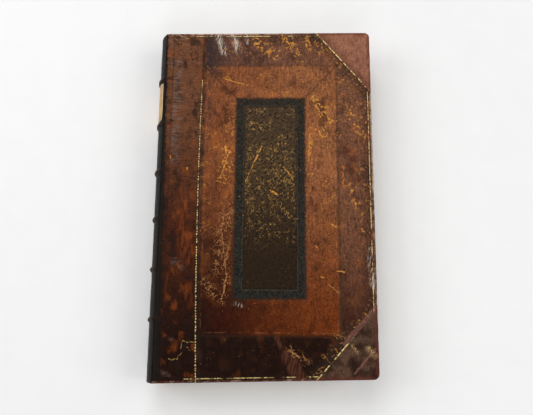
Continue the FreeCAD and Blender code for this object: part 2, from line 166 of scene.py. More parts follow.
# Leather's finish: its shine, how far the painted shade on the spine side reaches at the tail, its pores and
# streaks, and how far from an outer face the coats of the outside start and are full
LEATHER_SHINE = 0.05
SPINE_SHADE_REACH = 7.0
PORE = 0.9
UPRIGHT = (1, 0.25, 1)
FACE_FROM = 1.6
FACE_FULL = 0.7

# Stage, in metres
FLOOR_HALF = 4.0
FLOOR_GAP = 0.0008
FLOOR_WHITE_FROM = 0.30
FLOOR_WHITE_TO = 0.75
AMBIENT = 0.25
LAMPS = {
    "head_light": ((-0.25, 1.05, 1.35), 1.1, 11.0),
    "tail_light": ((0.1, -1.2, 1.1), 0.9, 5.0),
    "left_light": ((-1.2, 0.2, 1.1), 0.9, 8.0),
    "right_light": ((1.2, -0.1, 1.1), 0.9, 8.0),
}
CAMERA_PLACE = (0.02266, -0.14837, 0.68128)
CAMERA_TURN = (0.21387, 0.02507, 0.00746)
SENSOR = 36.0
FOCAL_PIXELS = 600.0
IMAGE_WIDTH = 533.0


def shade(red, green, blue):
    """A colour as the eye reads it on a screen, from 0 to 255, made linear."""
    linear = []
    for value in (red, green, blue):
        part = value / 255
        linear.append(part / 12.92 if part <= 0.04045 else ((part + 0.055) / 1.055) ** 2.4)
    return tuple(linear)


def length_setting(name, text, default):
    """A property for a length in millimetres."""
    return bpy.props.FloatProperty(name=name, description=text, default=default, min=0.0, unit="NONE")


def colour_setting(name, text, default):
    """A property for a colour."""
    return bpy.props.FloatVectorProperty(
        name=name, description=text, default=default, size=3, min=0.0, max=1.0, subtype="COLOR"
    )


class BookSizes(bpy.types.PropertyGroup):
    """Sizes of the book's surface, in millimetres."""

    edge_round: length_setting("Edge rounding", "Radius of the leather round the board edges", 1.5)
    cell: length_setting("Cell", "Spacing of the leather's surface points", 4.0)
    unevenness: length_setting("Unevenness", "How far the leather rises and falls on the board", 0.22)
    edge_wear: length_setting("Edge wear", "How far the worn edges wander", 0.35)
    seam_step: length_setting("Seam step", "How far the strip stands over the old leather", 0.15)
    band_height: length_setting("Band height", "How far the raised bands stand out of the spine", 1.9)
    cap_reach: length_setting("Headcap reach", "How far the headcap covers the endband", 4.2)
    leaf_step: length_setting("Leaf step", "Thickness of the groups of leaves that show at the edges", 0.55)
    leaf_jitter: length_setting("Leaf unevenness", "How far groups of leaves stand out of each other", 0.35)


class BookColours(bpy.types.PropertyGroup):
    """Colours of the book."""

    # The head colour is lighter and the tail colour darker partly as painted light and shade, with a painted
    # sheen at the head; the rest is the calf's own tone.
    calf_head: colour_setting("Calf, head", "Old calf in the head half of the frame", shade(138, 86, 54))
    calf_tail: colour_setting("Calf, tail", "Old calf in the tail half of the frame", shade(102, 46, 14))
    flake: colour_setting("Flake", "Pale leather under flaked calf", shade(216, 148, 62))
    gilt: colour_setting("Gilt", "Gold leaf of the lines and the roll", shade(232, 208, 138))
    # The spine colour's near-black is partly painted shade of the rounded spine; the strip's spine side uses
    # it as painted shade.
    spine: colour_setting("Spine", "Blackened calf of the spine", shade(20, 15, 11))
    mend: colour_setting("Mended corner", "Newer calf on the corners", shade(142, 94, 72))
    label: colour_setting("Label", "Tan skin of the spine label", shade(196, 152, 92))
    paper: colour_setting("Paper", "Old paper of the endpapers", shade(226, 212, 182))
    leaves: colour_setting("Leaves", "Dusty edges of the leaves", shade(205, 186, 148))


def book_colour(name):
    """One of the panel's colours."""
    return tuple(getattr(bpy.context.scene.book_colours, name))


# Node writing


class Wire:
    """One output of a node, with Python's operators on it."""

    def __init__(self, nodes, socket):
        self.nodes = nodes
        self.socket = socket

    def __add__(self, other):
        return self.nodes.join("ADD", self, other)

    def __radd__(self, other):
        return self.nodes.join("ADD", other, self)

    def __sub__(self, other):
        return self.nodes.join("SUBTRACT", self, other)

    def __rsub__(self, other):
        return self.nodes.join("SUBTRACT", other, self)

    def __mul__(self, other):
        return self.nodes.join("MULTIPLY", self, other)

    def __rmul__(self, other):
        return self.nodes.join("MULTIPLY", other, self)

    def __truediv__(self, other):
        return self.nodes.join("DIVIDE", self, other)

    def __abs__(self):
        return self.nodes.join("ABSOLUTE", self)

    def least(self, other):
        return self.nodes.join("MINIMUM", self, other)

    def most(self, other):
        return self.nodes.join("MAXIMUM", self, other)

    def fraction(self):
        return self.nodes.join("FRACT", self)

    def fade(self, start, end):
        """0 at start and 1 at end, smooth between them."""
        values = {"Value": self, "From Min": start, "From Max": end}
        return self.nodes.node("ShaderNodeMapRange", {"interpolation_type": "SMOOTHSTEP"}, values, "Result")


class Nodes:
    """The nodes of one material or world."""

    def __init__(self, tree):
        self.tree = tree
        tree.nodes.clear()

    def node(self, kind, settings, values, output=None):
        """Adds a node, makes its settings, fills its sockets, and gives back one of its outputs."""
        made = self.tree.nodes.new(kind)
        for name, value in settings.items():
            setattr(made, name, value)
        for name, value in values.items():
            socket = made.inputs[name]
            if isinstance(value, Wire):
                self.tree.links.new(value.socket, socket)
            elif socket.type == "RGBA":
                socket.default_value = (*value, 1.0)
            else:
                socket.default_value = value
        return made if output is None else Wire(self, made.outputs[output])

    def join(self, operation, *parts):
        """Math on numbers, Vector Math on vectors."""
        is_vector = any(isinstance(part, Wire) and part.socket.type in ("VECTOR", "RGBA") for part in parts)
        kind = "ShaderNodeVectorMath" if is_vector else "ShaderNodeMath"
        values = dict(enumerate(parts))
        return self.node(kind, {"operation": operation}, values, "Vector" if is_vector else "Value")

    def measure(self, operation, *vectors):
        """A number from vectors, such as their dot product."""
        return self.node("ShaderNodeVectorMath", {"operation": operation}, dict(enumerate(vectors)), "Value")

    def blend(self, factor, first, second):
        """Colour first where the factor is 0 and second where it is 1."""
        settings = {"data_type": "RGBA"}
        made = self.node("ShaderNodeMix", settings, {"Factor": factor})
        for place, value in ((6, first), (7, second)):
            if isinstance(value, Wire):
                self.tree.links.new(value.socket, made.inputs[place])
            else:
                made.inputs[place].default_value = (*value, 1.0)
        return Wire(self, made.outputs[2])

    def book_place(self):
        """The surface point in book millimetres."""
        place = self.node("ShaderNodeTexCoord", {}, {}, "Object")
        shift = (-JOINT_X / MM, -TAIL_Y / MM, 0)
        values = {"Vector": place, "Location": shift, "Scale": (1 / MM, 1 / MM, 1 / MM)}
        return self.node("ShaderNodeMapping", {}, values, "Vector")

    def parts(self, vector):
        """The three numbers of a vector."""
        made = self.node("ShaderNodeSeparateXYZ", {}, {"Vector": vector})
        return [Wire(self, made.outputs[name]) for name in ("X", "Y", "Z")]

    def stretched(self, vector, x, y, z):
        """The vector with its three parts multiplied."""
        return self.node("ShaderNodeMapping", {}, {"Vector": vector, "Scale": (x, y, z)}, "Vector")

    def scaled(self, vector, factor):
        """The vector times a number."""
        return self.node("ShaderNodeVectorMath", {"operation": "SCALE"}, {0: vector, "Scale": factor}, 0)

    def turned(self, vector, degrees):
        """The vector turned about the upright axis."""
        values = {"Vector": vector, "Rotation": (0, 0, math.radians(degrees))}
        return self.node("ShaderNodeMapping", {}, values, "Vector")

    def grain(self, vector, size, detail=2.0, output="Fac"):
        """Soft noise whose lumps are about size millimetres across."""
        values = {"Vector": vector, "Scale": 1 / size, "Detail": detail}
        return self.node("ShaderNodeTexNoise", {}, values, output)

    def seen_as_white(self):
        """1 for rays from the camera, glossy rays and transmission rays."""
        made = self.node("ShaderNodeLightPath", {}, {})
        rays = ("Is Camera Ray", "Is Glossy Ray", "Is Transmission Ray")
        camera, glossy, through = (Wire(self, made.outputs[name]) for name in rays)
        return camera.most(glossy).most(through)

    def pebbles(self, vector, size, feature="F1"):
        """Cells about size millimetres across."""
        values = {"Vector": vector, "Scale": 1 / size}
        return self.node("ShaderNodeTexVoronoi", {"feature": feature}, values, "Distance")


class Finish:
    """The colour, roughness, metal and height of one material, laid on coat by coat."""

    def __init__(self, name):
        self.material = bpy.data.materials.new(name)
        self.material.use_nodes = True
        self.nodes = Nodes(self.material.node_tree)
        self.place = self.nodes.book_place()
        self.x, self.y, self.z = self.nodes.parts(self.place)
        self.outer = abs(self.z - MID_HEIGHT).fade(MID_HEIGHT - FACE_FROM, MID_HEIGHT - FACE_FULL)
        self.front = self.z.fade(THICKNESS - FACE_FROM, THICKNESS - FACE_FULL)
        self.colour = None
        self.roughness = None
        self.metal = None
        self.height = None

    def start(self, colour, roughness):
        self.colour = colour
        self.roughness = roughness

    def coat(self, mask, colour=None, roughness=None, height=None, metal=None):
        """Lays a coat where the mask is 1; height is in millimetres."""
        if colour is not None:
            self.colour = self.nodes.blend(mask, self.colour, colour)
        if roughness is not None:
            self.roughness = self.roughness + (roughness - self.roughness) * mask
        if height is not None:
            raised = mask * height
            self.height = raised if self.height is None else self.height + raised
        if metal is not None:
            shown = mask * metal
            self.metal = shown if self.metal is None else self.metal.most(shown)

    def finish(self, strength=1.0, sheen=0.0, specular=0.5):
        """Links what was laid on to the surface shader."""
        values = {
            "Base Color": self.colour,
            "Roughness": self.roughness,
            "Sheen Weight": sheen,
            "Specular IOR Level": specular,
        }
        if self.height is not None:
            bump = {"Height": self.height, "Distance": MM, "Strength": strength}
            values["Normal"] = self.nodes.node("ShaderNodeBump", {}, bump, "Normal")
        if self.metal is not None:
            values["Metallic"] = self.metal
        surface = self.nodes.node("ShaderNodeBsdfPrincipled", {}, values, "BSDF")
        self.nodes.node("ShaderNodeOutputMaterial", {}, {"Surface": surface})
        return self.material

    def frame_depth(self, box):
        """How far inside a box on the cover, in millimetres, negative outside."""
        low_x, high_x, low_y, high_y = box
        across = (self.x - low_x).least(high_x - self.x)
        return across.least((self.y - low_y).least(high_y - self.y))

    def rule(self, distance, width, soft=0.35):
        """1 on a line where the distance is 0."""
        return abs(distance).fade(width / 2 + soft, width / 2 - soft)

    def marks(self, place, lines, soft=0.5):
        """1 on straight marks, each given by its two ends and its half width."""
        nearest = None
        for start_x, start_y, end_x, end_y, half in lines:
            run = Vector((end_x - start_x, end_y - start_y, 0))
            offset = place - (start_x, start_y, 0)
            along = self.nodes.measure("DOT_PRODUCT", offset, tuple(run / run.length_squared))
            along = self.nodes.node("ShaderNodeClamp", {}, {"Value": along}, "Result")
            distance = self.nodes.measure("LENGTH", offset - self.nodes.scaled(tuple(run), along)) - half
            nearest = distance if nearest is None else nearest.least(distance)
        return nearest.fade(soft, -soft)

    def wear(self, place, lines, soft, mask, **coat):
        """Lays a coat on marks of the front cover, as strongly as the mask says."""
        self.coat(self.marks(place, lines, soft) * mask * self.front, **coat)

    def grain(self, size, detail=2.0, stretch=None):
        """Soft noise over the piece; a part of stretch under 1 draws its lumps out that way."""
        place = self.nodes.stretched(self.place, *stretch) if stretch else self.place
        return self.nodes.grain(place, size, detail)

    def cracks(self, size, width, stretch):
        """Thin lines between cells about size millimetres across."""
        place = self.nodes.stretched(self.place, *stretch)
        return self.nodes.pebbles(place, size, "DISTANCE_TO_EDGE").fade(width, 0.01)

    def spine_angle(self):
        """The angle round the spine, up from level, in radians."""
        values = {0: self.z - MID_HEIGHT, 1: SPINE_X - self.x}
        return self.nodes.node("ShaderNodeMath", {"operation": "ARCTAN2"}, values, "Value")


# Wear on the front cover, in book millimetres: two ends and half a width
TAN_SCRATCHES = (
    (70, 178, 67, 160, 0.3), (77, 176, 72, 158, 0.2), (56, 165, 68, 152, 0.3),
    (67, 160, 70, 140, 0.3), (78, 150, 71, 122, 0.3), (70, 140, 74, 112, 0.4),
    (48, 107, 61, 118, 0.3), (74, 112, 70, 88, 0.5), (61, 92, 50, 84, 0.2),
    (182, 101, 192, 93, 0.3), (140, 35, 150, 27, 0.8), (152, 36, 158, 22, 0.5),
    (189, 50, 203, 47, 0.4),
)
FLAKE_STROKES = (
    (65, 334, 93, 326, 0.4), (62, 256, 68, 250, 0.3), (70, 254, 71, 240, 0.5),
    (74, 246, 70, 236, 0.4), (66, 238, 79, 232, 0.4), (70, 232, 64, 218, 0.3),
    (60, 214, 70, 211, 0.3), (109.6, 253.7, 102, 236, 0.5), (102, 236, 92, 213, 0.3),
    (134, 230, 144, 217, 0.4), (120, 203, 127, 199, 1.0), (163, 268, 161, 236, 0.5),
    (176, 276, 182, 268, 0.5), (186, 166, 190, 163, 0.8), (174, 110, 176, 109, 0.6),
    (190, 116, 198, 115, 0.5), (168, 142, 170, 141, 0.5), (218, 161, 220, 158, 0.6),
)
FLAKE_PATCHES = (
    (78, 378, 84, 372, 3.0), (100, 384, 124, 364, 7.0), (134, 384, 150, 366, 6.0),
    (160, 386, 162, 370, 3.0), (172, 384, 174, 362, 2.0), (170, 382, 184, 368, 3.0),
    (168, 308, 184, 284, 6.0), (166, 278, 178, 264, 3.0), (163, 266, 165, 236, 2.5),
    (72, 252, 68, 218, 6.0), (206, 294, 222, 264, 5.0), (208, 206, 216, 180, 4.0),
)
FLAKE_GLOWS = (
    (198, 230, 200, 206, 3.4), (204, 180, 208, 170, 2.0),
)
DARK_STAINS = (
    (48, 380, 56, 356, 8.0), (50, 352, 60, 338, 5.0), (20, 20, 44, 30, 4.0),
)
RED_STAINS = (
    (200, 250, 210, 240, 5.0), (206, 232, 214, 216, 3.0),
)
RED_SPOTS = (
    (230.4, 298, 230.4, 296, 0.8), (230.2, 270, 230.2, 262, 0.5),
)
WEDGE_SCUFF = (
    (127, 46, 138, 26, 2.0), (136, 30, 147, 8, 5.0), (147, 22, 152, 8, 4.0),
)
TAIL_DIAGONAL_WEAR = (
    (230, 78, 204, 49, 2.3), (204, 49, 197, 41, 1.8), (228, 36, 207, 12, 0.9),
)
STRIP_FLAKES = (
    (26, 205, 27, 135, 5.0), (34, 150, 34, 125, 3.0), (11, 113, 10.5, 86, 0.8),
    (33, 99, 35, 80, 3.0), (8, 236, 9, 222, 1.2), (36, 352, 40, 340, 3.0), (36, 246, 38, 240, 2.0),
)
STRIP_SCUFFS = (
    (14, 354, 13, 238, 4.5), (3, 384, 6, 350, 2.0), (20, 386, 12, 380, 2.0),
    (18, 126, 26, 120, 3.0), (11, 45, 20, 45, 0.5), (10, 12, 16, 8, 1.6),
)
HEAD_MITRES = (
    (44, 349.4, 80.5, 310.5, 0.7), (194, 349.4, 158, 310.5, 0.6),
)
TAIL_MITRES = (
    (44, 48, 80.5, 86, 0.3), (194, 48, 158, 86, 0.3),
)
WHITE_PATCHES = (
    (58, 388, 66, 366, 3.0), (76, 388, 82, 368, 2.6), (92, 388, 92, 378, 0.8),
    (225, 139, 228, 98, 1.6), (205, 39, 210, 33, 1.0), (84, 81, 92, 79, 0.6),
)
TAN_PATCHES = (
    (72, 180, 66, 120, 8.0), (74, 112, 70, 84, 4.0), (52, 104, 60, 92, 5.0),
    (182, 101, 192, 93, 1.5), (140, 35, 158, 22, 4.0), (189, 50, 203, 47, 3.0),
    (158, 349, 166, 336, 2.0),
)
DARK_NICKS = (
    (223, 231, 229, 224, 2.6), (219, 222, 224, 215, 0.7), (224, 215, 230, 211, 0.9),
    (81, 83, 84, 80, 0.8),
)
CORNER_STAINS = (
    (221, 37, 229, 29, 2.4), (205, 39, 210, 33, 1.2),
)
STRIP_NICKS = (
    (27, 366, 30, 357, 0.7), (30, 357, 34, 360, 0.6), (32, 368, 36, 362, 0.7),
    (36, 362, 34, 355, 0.6), (39, 306, 42, 305, 0.7), (7, 285, 11, 283, 1.2),
)
STRIP_SCRATCHES = (
    (28, 36, 30, 44, 0.25), (30, 44, 36, 41, 0.25), (36, 41, 43, 42, 0.25), (33, 38, 38, 33, 0.2),
    (16, 25, 24, 24, 0.2), (24, 24, 29, 31, 0.25), (8, 384, 14, 378, 0.3), (12, 388, 24, 384, 0.3),
)
STRIP_SPOTS = (
    (8.4, 243, 8.4, 240, 0.8), (28, 229, 28, 227, 0.8), (3.3, 146, 3.3, 144, 0.7),
)


def bowed_roll(finish):
    """How far across from the middle of the gilt roll, which bows a little."""
    rise = finish.y - ROLL_MIDDLE
    return finish.x - (rise * rise * ROLL_BOW + ROLL_X)


def edge_depth(finish):
    """How far in from the head, fore-edge and tail of the cover."""
    tail = finish.x * (TAIL_RISE / COVER_WIDTH)
    ends = (HEIGHT - finish.y).least(finish.y - tail)
    return ends.least(COVER_WIDTH - finish.x)


def line_side(ends):
    """The first end of a slanted line, and the direction across it towards the fore-edge."""
    first, second = (Vector(end) for end in ends)
    run = second - first
    return first, Vector((abs(run.y), run.x if run.y < 0 else -run.x))


def slant(finish, ends):
    """How far beyond a slanted line, towards the fore-edge."""
    first, side = line_side(ends)
    side.normalize()
    return (finish.x - first.x) * side.x + (finish.y - first.y) * side.y


def leather_ground(finish, colour, roughness, contrast=1.0, streaks=(0.25, 1, 1)):
    """Leather's mottling, streaks and fine grain, under every other coat."""
    nodes = finish.nodes
    broad = finish.grain(30.0, 3.0)
    patchy = finish.grain(8.0, 4.0)
    small = finish.grain(2.8, 3.0)
    fine = finish.grain(1.5, 2.0)
    streak = finish.grain(2.0, 3.0, streaks)
    tone = 1.0
    for lump, share in ((broad, 0.8), (patchy, 1.0), (small, 1.3), (streak, 1.4), (fine, 1.6)):
        tone = tone + (lump - 0.5) * (share * contrast)
    toned = nodes.scaled(colour, tone.most(0.25))
    finish.start(toned, roughness + (patchy - 0.5) * 0.25 + (fine - 0.5) * 0.2)
    cells = nodes.pebbles(finish.place, PORE)
    finish.height = cells * 0.12 + fine * 0.28 + small * 0.25 + streak * 0.22
    return patchy, small


def wandering(finish, far=3.0, size=5.0):
    """The surface point pushed about a little, so that marks aren't straight."""
    push = finish.nodes.grain(finish.place, size, 2.0, "Color") - (0.5, 0.5, 0.5)
    flat = finish.nodes.stretched(finish.place, 1, 1, 0)
    return flat + finish.nodes.stretched(finish.nodes.scaled(push, far), 1, 1, 0)


def scribble(finish, size, width, along=1.0):
    """Thin wandering lines, as fine cracks and flaked strokes are."""
    lump = finish.grain(size, 3.0, (1, along, 1))
    return abs(lump - 0.5).fade(width, width * 0.3)


def gilding(finish, mask):
    """A coat of rubbed gold leaf on the outside of the cover."""
    mask = mask * finish.outer
    rubbed = finish.grain(2.2, 3.0).fade(0.36, 0.52)
    finish.coat(mask * rubbed, colour=book_colour("gilt"), roughness=0.42, metal=0.25)
    finish.coat(mask, height=-0.15)


def gilt_roll(finish):
    """The beaded gilt roll along the strip, rubbed away in places, with a dark line beside it."""
    across = bowed_roll(finish)
    below_head = finish.y.fade(ROLL_HEAD + 1, ROLL_HEAD - 1)
    uneven = (finish.grain(6.0, 2.0) - 0.5) * 2.5
    bead = abs(((finish.y + uneven) / ROLL_PITCH).fraction() - 0.5).fade(0.46, 0.22)
    kept = finish.grain(13.0, 3.0).fade(0.36, 0.52)
    shadow = finish.grain(9.0, 3.0).fade(0.34, 0.62) * finish.outer
    finish.coat(finish.rule(across - 3.4, 3.4, 1.6) * shadow * 0.6, colour=shade(34, 22, 18), height=-0.12)
    finish.coat(finish.rule(across, 2.4, 0.6) * finish.outer * 0.45, colour=shade(40, 22, 15), height=-0.08)
    gilding(finish, finish.rule(across + uneven * 0.5, 0.9, 0.5) * bead * below_head * (kept * 0.8 + 0.2))


def edge_lines(finish):
    """Gilt line close to the head, fore-edge and tail, and the worn rim outside it."""
    nodes = finish.nodes
    depth = edge_depth(finish)
    broken = finish.grain(14.0, 3.0).fade(0.45, 0.53)
    rim_noise = finish.grain(3.0, 4.0)
    rim = (depth + (rim_noise - 0.5) * 7.0).fade(3.2, 0.6)
    pale = finish.grain(5.0, 5.0)
    rim_colour = nodes.blend(pale.fade(0.46, 0.66), shade(92, 50, 38), shade(164, 134, 116))
    finish.coat(rim * 0.7, colour=rim_colour, roughness=0.62)
    finish.coat(finish.rule(depth - 5.4, 1.2, 0.6) * finish.outer * 0.45, colour=shade(36, 20, 13))
    bare_head = finish.rule(finish.y - (HEIGHT - 1.3), 1.8, 0.5)
    bare_head = bare_head * finish.x.fade(26, 28) * finish.x.fade(170, 60)
    bare_side = finish.rule(finish.x - (COVER_WIDTH - 0.9), 1.2, 0.5)
    bare_side = bare_side * finish.y.fade(196, 206) * finish.y.fade(330, 316)
    bare = bare_head.most(bare_side) * finish.front * rim_noise.fade(0.36, 0.50)
    finish.coat(bare * 0.85, colour=shade(198, 162, 146), roughness=0.7)
    starts = finish.x.fade(26, 30)
    gilding(finish, finish.rule(depth - EDGE_LINE_DEPTH, EDGE_LINE_WIDTH, 0.4) * broken * starts * 0.85)


def old_calf():
    """Panelled calf of the sides: frame, mitres, stained panel, crackle, flakes and scratches."""
    finish = Finish("old_calf")
    nodes = finish.nodes
    # Lighter towards the head, darker towards the tail and towards the spine on the left: partly the calf's
    # own tone, partly painted light and shade, with a painted sheen in the greyer head colours.
    toward_head = finish.y.fade(45, 250)
    toward_right = finish.x.fade(50, 185)
    left = nodes.blend(finish.y.fade(60, 290), shade(38, 7, 1), shade(126, 72, 42))
    right = nodes.blend(toward_head, book_colour("calf_tail"), book_colour("calf_head"))
    inside = nodes.blend(toward_right, left, right)
    margin_tail = nodes.blend(finish.x.fade(175, 225), shade(22, 6, 1), shade(66, 34, 22))
    margin_head = nodes.blend(toward_right, shade(86, 57, 46), shade(112, 72, 52))
    outside = nodes.blend(finish.y.fade(30, 200), margin_tail, margin_head)
    in_frame = finish.frame_depth(FRAME_BOX)
    base = nodes.blend(in_frame.fade(-2.0, 2.0), outside, inside)
    patchy, small = leather_ground(finish, base, 0.46, streaks=UPRIGHT)
    worn = finish.grain(13.0, 6.0, (1, 0.7, 1))
    finish.coat(worn.fade(0.54, 0.74) * (toward_head * 0.3 + 0.10), colour=shade(174, 100, 44))
    finish.coat(worn.fade(0.46, 0.30) * 0.6, colour=shade(46, 20, 10), roughness=0.4)
    flat = nodes.stretched(finish.place, 1, 1, 0)
    pushed = wandering(finish)

    # Dark staining beside the roll, along the fore-edge and at the head
    beside = finish.rule(bowed_roll(finish) - 8.0, 9.0, 5.0) * patchy.fade(0.30, 0.60)
    finish.coat(beside * finish.y.fade(190, 330) * finish.outer * 0.6, colour=shade(50, 37, 36))
    finish.coat(beside * finish.y.fade(120, 60) * finish.outer * 0.6, colour=shade(20, 8, 5))
    dotted = finish.grain(2.4, 4.0).fade(0.42, 0.58)
    side = (COVER_WIDTH - finish.x + (patchy - 0.5) * 22).fade(17, 9) * finish.y.fade(350, 320)
    head = (HEIGHT - finish.y + (patchy - 0.5) * 26).fade(20, 8) * finish.x.fade(70, 110)
    finish.coat(side.most(head) * (dotted * 0.4 + 0.22), colour=shade(40, 28, 23))

    # Stained panel with its lighter field
    fuzz = (finish.grain(1.8, 4.0) - 0.5) * 8.0
    in_panel = finish.frame_depth(PANEL_BOX)
    in_field = finish.frame_depth(FIELD_BOX)
    speckle = finish.grain(1.8, 3.0)
    dark = nodes.blend(speckle.fade(0.30, 0.70), shade(4, 10, 11), shade(45, 46, 40))
    finish.coat((in_panel + fuzz).fade(-2.0, 2.0) * 0.97, colour=dark, roughness=0.5)
    # The field darkens towards the tail partly as painted shade.
    field_tone = nodes.blend(finish.y.fade(110, 270), shade(42, 28, 15), shade(72, 55, 38))
    field = nodes.blend(small.fade(0.28, 0.60), shade(26, 18, 11), field_tone)
    finish.coat((in_field + fuzz * 0.5).fade(-1.6, 1.6) * 0.95, colour=field, roughness=0.45)

    # Blind lines: the frame, the panel, its field and the mitres, with a painted highlight just inside the
    # frame line
    rubbed = finish.grain(12.0, 3.0).fade(0.22, 0.52)
    frame_line = finish.rule(in_frame - 0.4, 2.0, 1.3)
    finish.coat(frame_line * rubbed * (0.75 - toward_head * 0.4), colour=shade(36, 24, 17))
    finish.coat(frame_line, height=-0.25)
    right_line = finish.rule(finish.x - FRAME_BOX[1] + 0.6, 2.6, 1.4) * in_frame.fade(-3, -1) * finish.outer
    finish.coat(right_line * rubbed * 0.5, colour=shade(66, 52, 40))
    # A painted highlight: a pale raised line just inside the frame line.
    inner_highlight = finish.rule(in_frame - 3.6, 0.7, 0.7) * patchy.fade(0.44, 0.60)
    finish.coat(inner_highlight * 0.28, colour=shade(180, 122, 80), height=0.08)
    for depth, strength in ((in_panel - 0.6, 0.4), (in_field - 0.4, 0.55)):
        line = finish.rule(depth, 1.0, 0.8)
        finish.coat(line * rubbed * strength, colour=shade(16, 13, 11))
        finish.coat(line, height=-0.2)
    finish.coat(finish.rule(in_field + 1.0, 0.5, 0.6) * rubbed * 0.3, colour=shade(112, 98, 72))
    head_lines = finish.marks(flat, HEAD_MITRES, 1.0) * 0.7
    tail_lines = finish.marks(flat, TAIL_MITRES, 1.0) * 0.45
    finish.coat(head_lines.most(tail_lines) * rubbed, colour=shade(48, 28, 18), height=-0.2)

    # Old cracks in the surface
    cracks = finish.cracks(5.0, 0.07, (1.5, 0.7, 1))
    finish.coat(cracks * patchy.fade(0.44, 0.60) * 0.5, colour=shade(40, 20, 12), height=-0.15)

    # Ochre crackle in the field: slanting hairs and loose curls above, short strokes below
    in_crackle = in_field.fade(-1, 3) * finish.front
    slanted = nodes.stretched(nodes.turned(finish.place, -40), 0.22, 1, 1)
    hairs = nodes.grain(slanted, 1.7, 3.0).fade(0.53, 0.66) * finish.y.fade(150, 230)
    finish.coat(hairs * in_crackle * 0.32, colour=shade(126, 98, 62))
    loose = finish.grain(15.0, 2.0).fade(0.44, 0.56) * finish.y.fade(170, 215)
    curls = scribble(finish, 8.0, 0.018) * loose
    crowd = finish.grain(8.0, 3.0).fade(0.44, 0.60) * finish.y.fade(128, 172) * finish.y.fade(275, 215)
    short = scribble(finish, 4.0, 0.026, 0.6) * crowd
    ochre = curls.most(short) * small.fade(0.32, 0.54)
    finish.coat(ochre * in_crackle * 0.75, colour=shade(180, 138, 74), roughness=0.62, height=-0.06)

    # Flakes, strokes and scratches
    broken = small.fade(0.34, 0.54)
    flake = book_colour("flake")
    split = finish.grain(3.6, 1.0).fade(0.50, 0.57)
    curly = scribble(finish, 6.0, 0.036) * split
    drips = scribble(finish, 4.0, 0.045, 0.35) * split
    crackle = curly.most(drips) * 0.85
    finish.wear(pushed, FLAKE_PATCHES, 3.0, crackle, colour=flake, roughness=0.6, height=-0.12)
    glow = finish.marks(pushed, FLAKE_GLOWS, 3.0) * finish.grain(2.2, 4.0, (1, 0.4, 1))
    finish.coat(glow.fade(0.40, 0.60) * finish.front * 0.8, colour=shade(196, 112, 30), roughness=0.6)
    sparse = finish.grain(17.0, 2.0).fade(0.52, 0.60) * curly * toward_head
    finish.coat(sparse * in_panel.fade(2, -3) * 0.5, colour=flake, roughness=0.6, height=-0.05)
    finish.wear(pushed, FLAKE_STROKES, 0.6, broken * 0.9, colour=flake, roughness=0.6, height=-0.15)
    frayed = scribble(finish, 5.0, 0.026).most(finish.marks(pushed, TAN_SCRATCHES, 0.5))
    tan = shade(198, 142, 88)
    finish.wear(flat, TAN_PATCHES, 4.0, frayed * broken * 0.7, colour=tan, roughness=0.65, height=-0.1)
    dark = patchy.fade(0.26, 0.50) * 0.72
    finish.wear(pushed, DARK_STAINS, 6.0, dark, colour=shade(44, 34, 34), roughness=0.42)
    red = patchy.fade(0.30, 0.55) * 0.75
    finish.wear(pushed, RED_STAINS, 5.0, red, colour=shade(58, 22, 14), roughness=0.42)
    finish.wear(pushed, DARK_NICKS, 0.8, 0.75, colour=shade(40, 33, 30), height=-0.25)
    leaning = nodes.stretched(nodes.turned(finish.place, 12), 1, 0.14, 1)
    hairs = nodes.grain(leaning, 1.9, 3.0)
    scuff = hairs.fade(0.36, 0.60) * 0.4 + 0.1
    finish.wear(flat, WEDGE_SCUFF, 2.4, scuff, colour=shade(106, 62, 46), roughness=0.6)
    rubbing = nodes.grain(leaning, 1.3, 2.0).fade(0.48, 0.56) * 0.85
    white = shade(204, 194, 180)
    finish.wear(pushed, WHITE_PATCHES, 3.0, rubbing, colour=white, roughness=0.75, height=-0.08)
    finish.wear(pushed, RED_SPOTS, 0.6, 0.8, colour=shade(150, 34, 14), roughness=0.5)

    # Scattered pale specks
    specks = finish.grain(3.0, 3.0).fade(0.67, 0.75) * (toward_head * 0.6 + 0.15)
    finish.coat(specks, colour=flake, roughness=0.66)

    # Dark crackled edge of the old leather along the mended corners, and the pink wear at the tail
    for ends in CORNERS:
        near = (slant(finish, ends) + (patchy - 0.5) * 16).fade(-13.0, -4.0)
        finish.coat(near * (dotted * 0.35 + 0.4), colour=shade(46, 33, 28))
        finish.coat(near * curly * finish.front * 0.45, colour=flake, roughness=0.6)
    pink = (small * 0.8 + 0.3) * 0.75
    finish.wear(pushed, TAIL_DIAGONAL_WEAR, 1.2, pink, colour=shade(132, 88, 76), roughness=0.65)
    edge_lines(finish)
    gilt_roll(finish)
    return finish.finish(specular=LEATHER_SHINE)


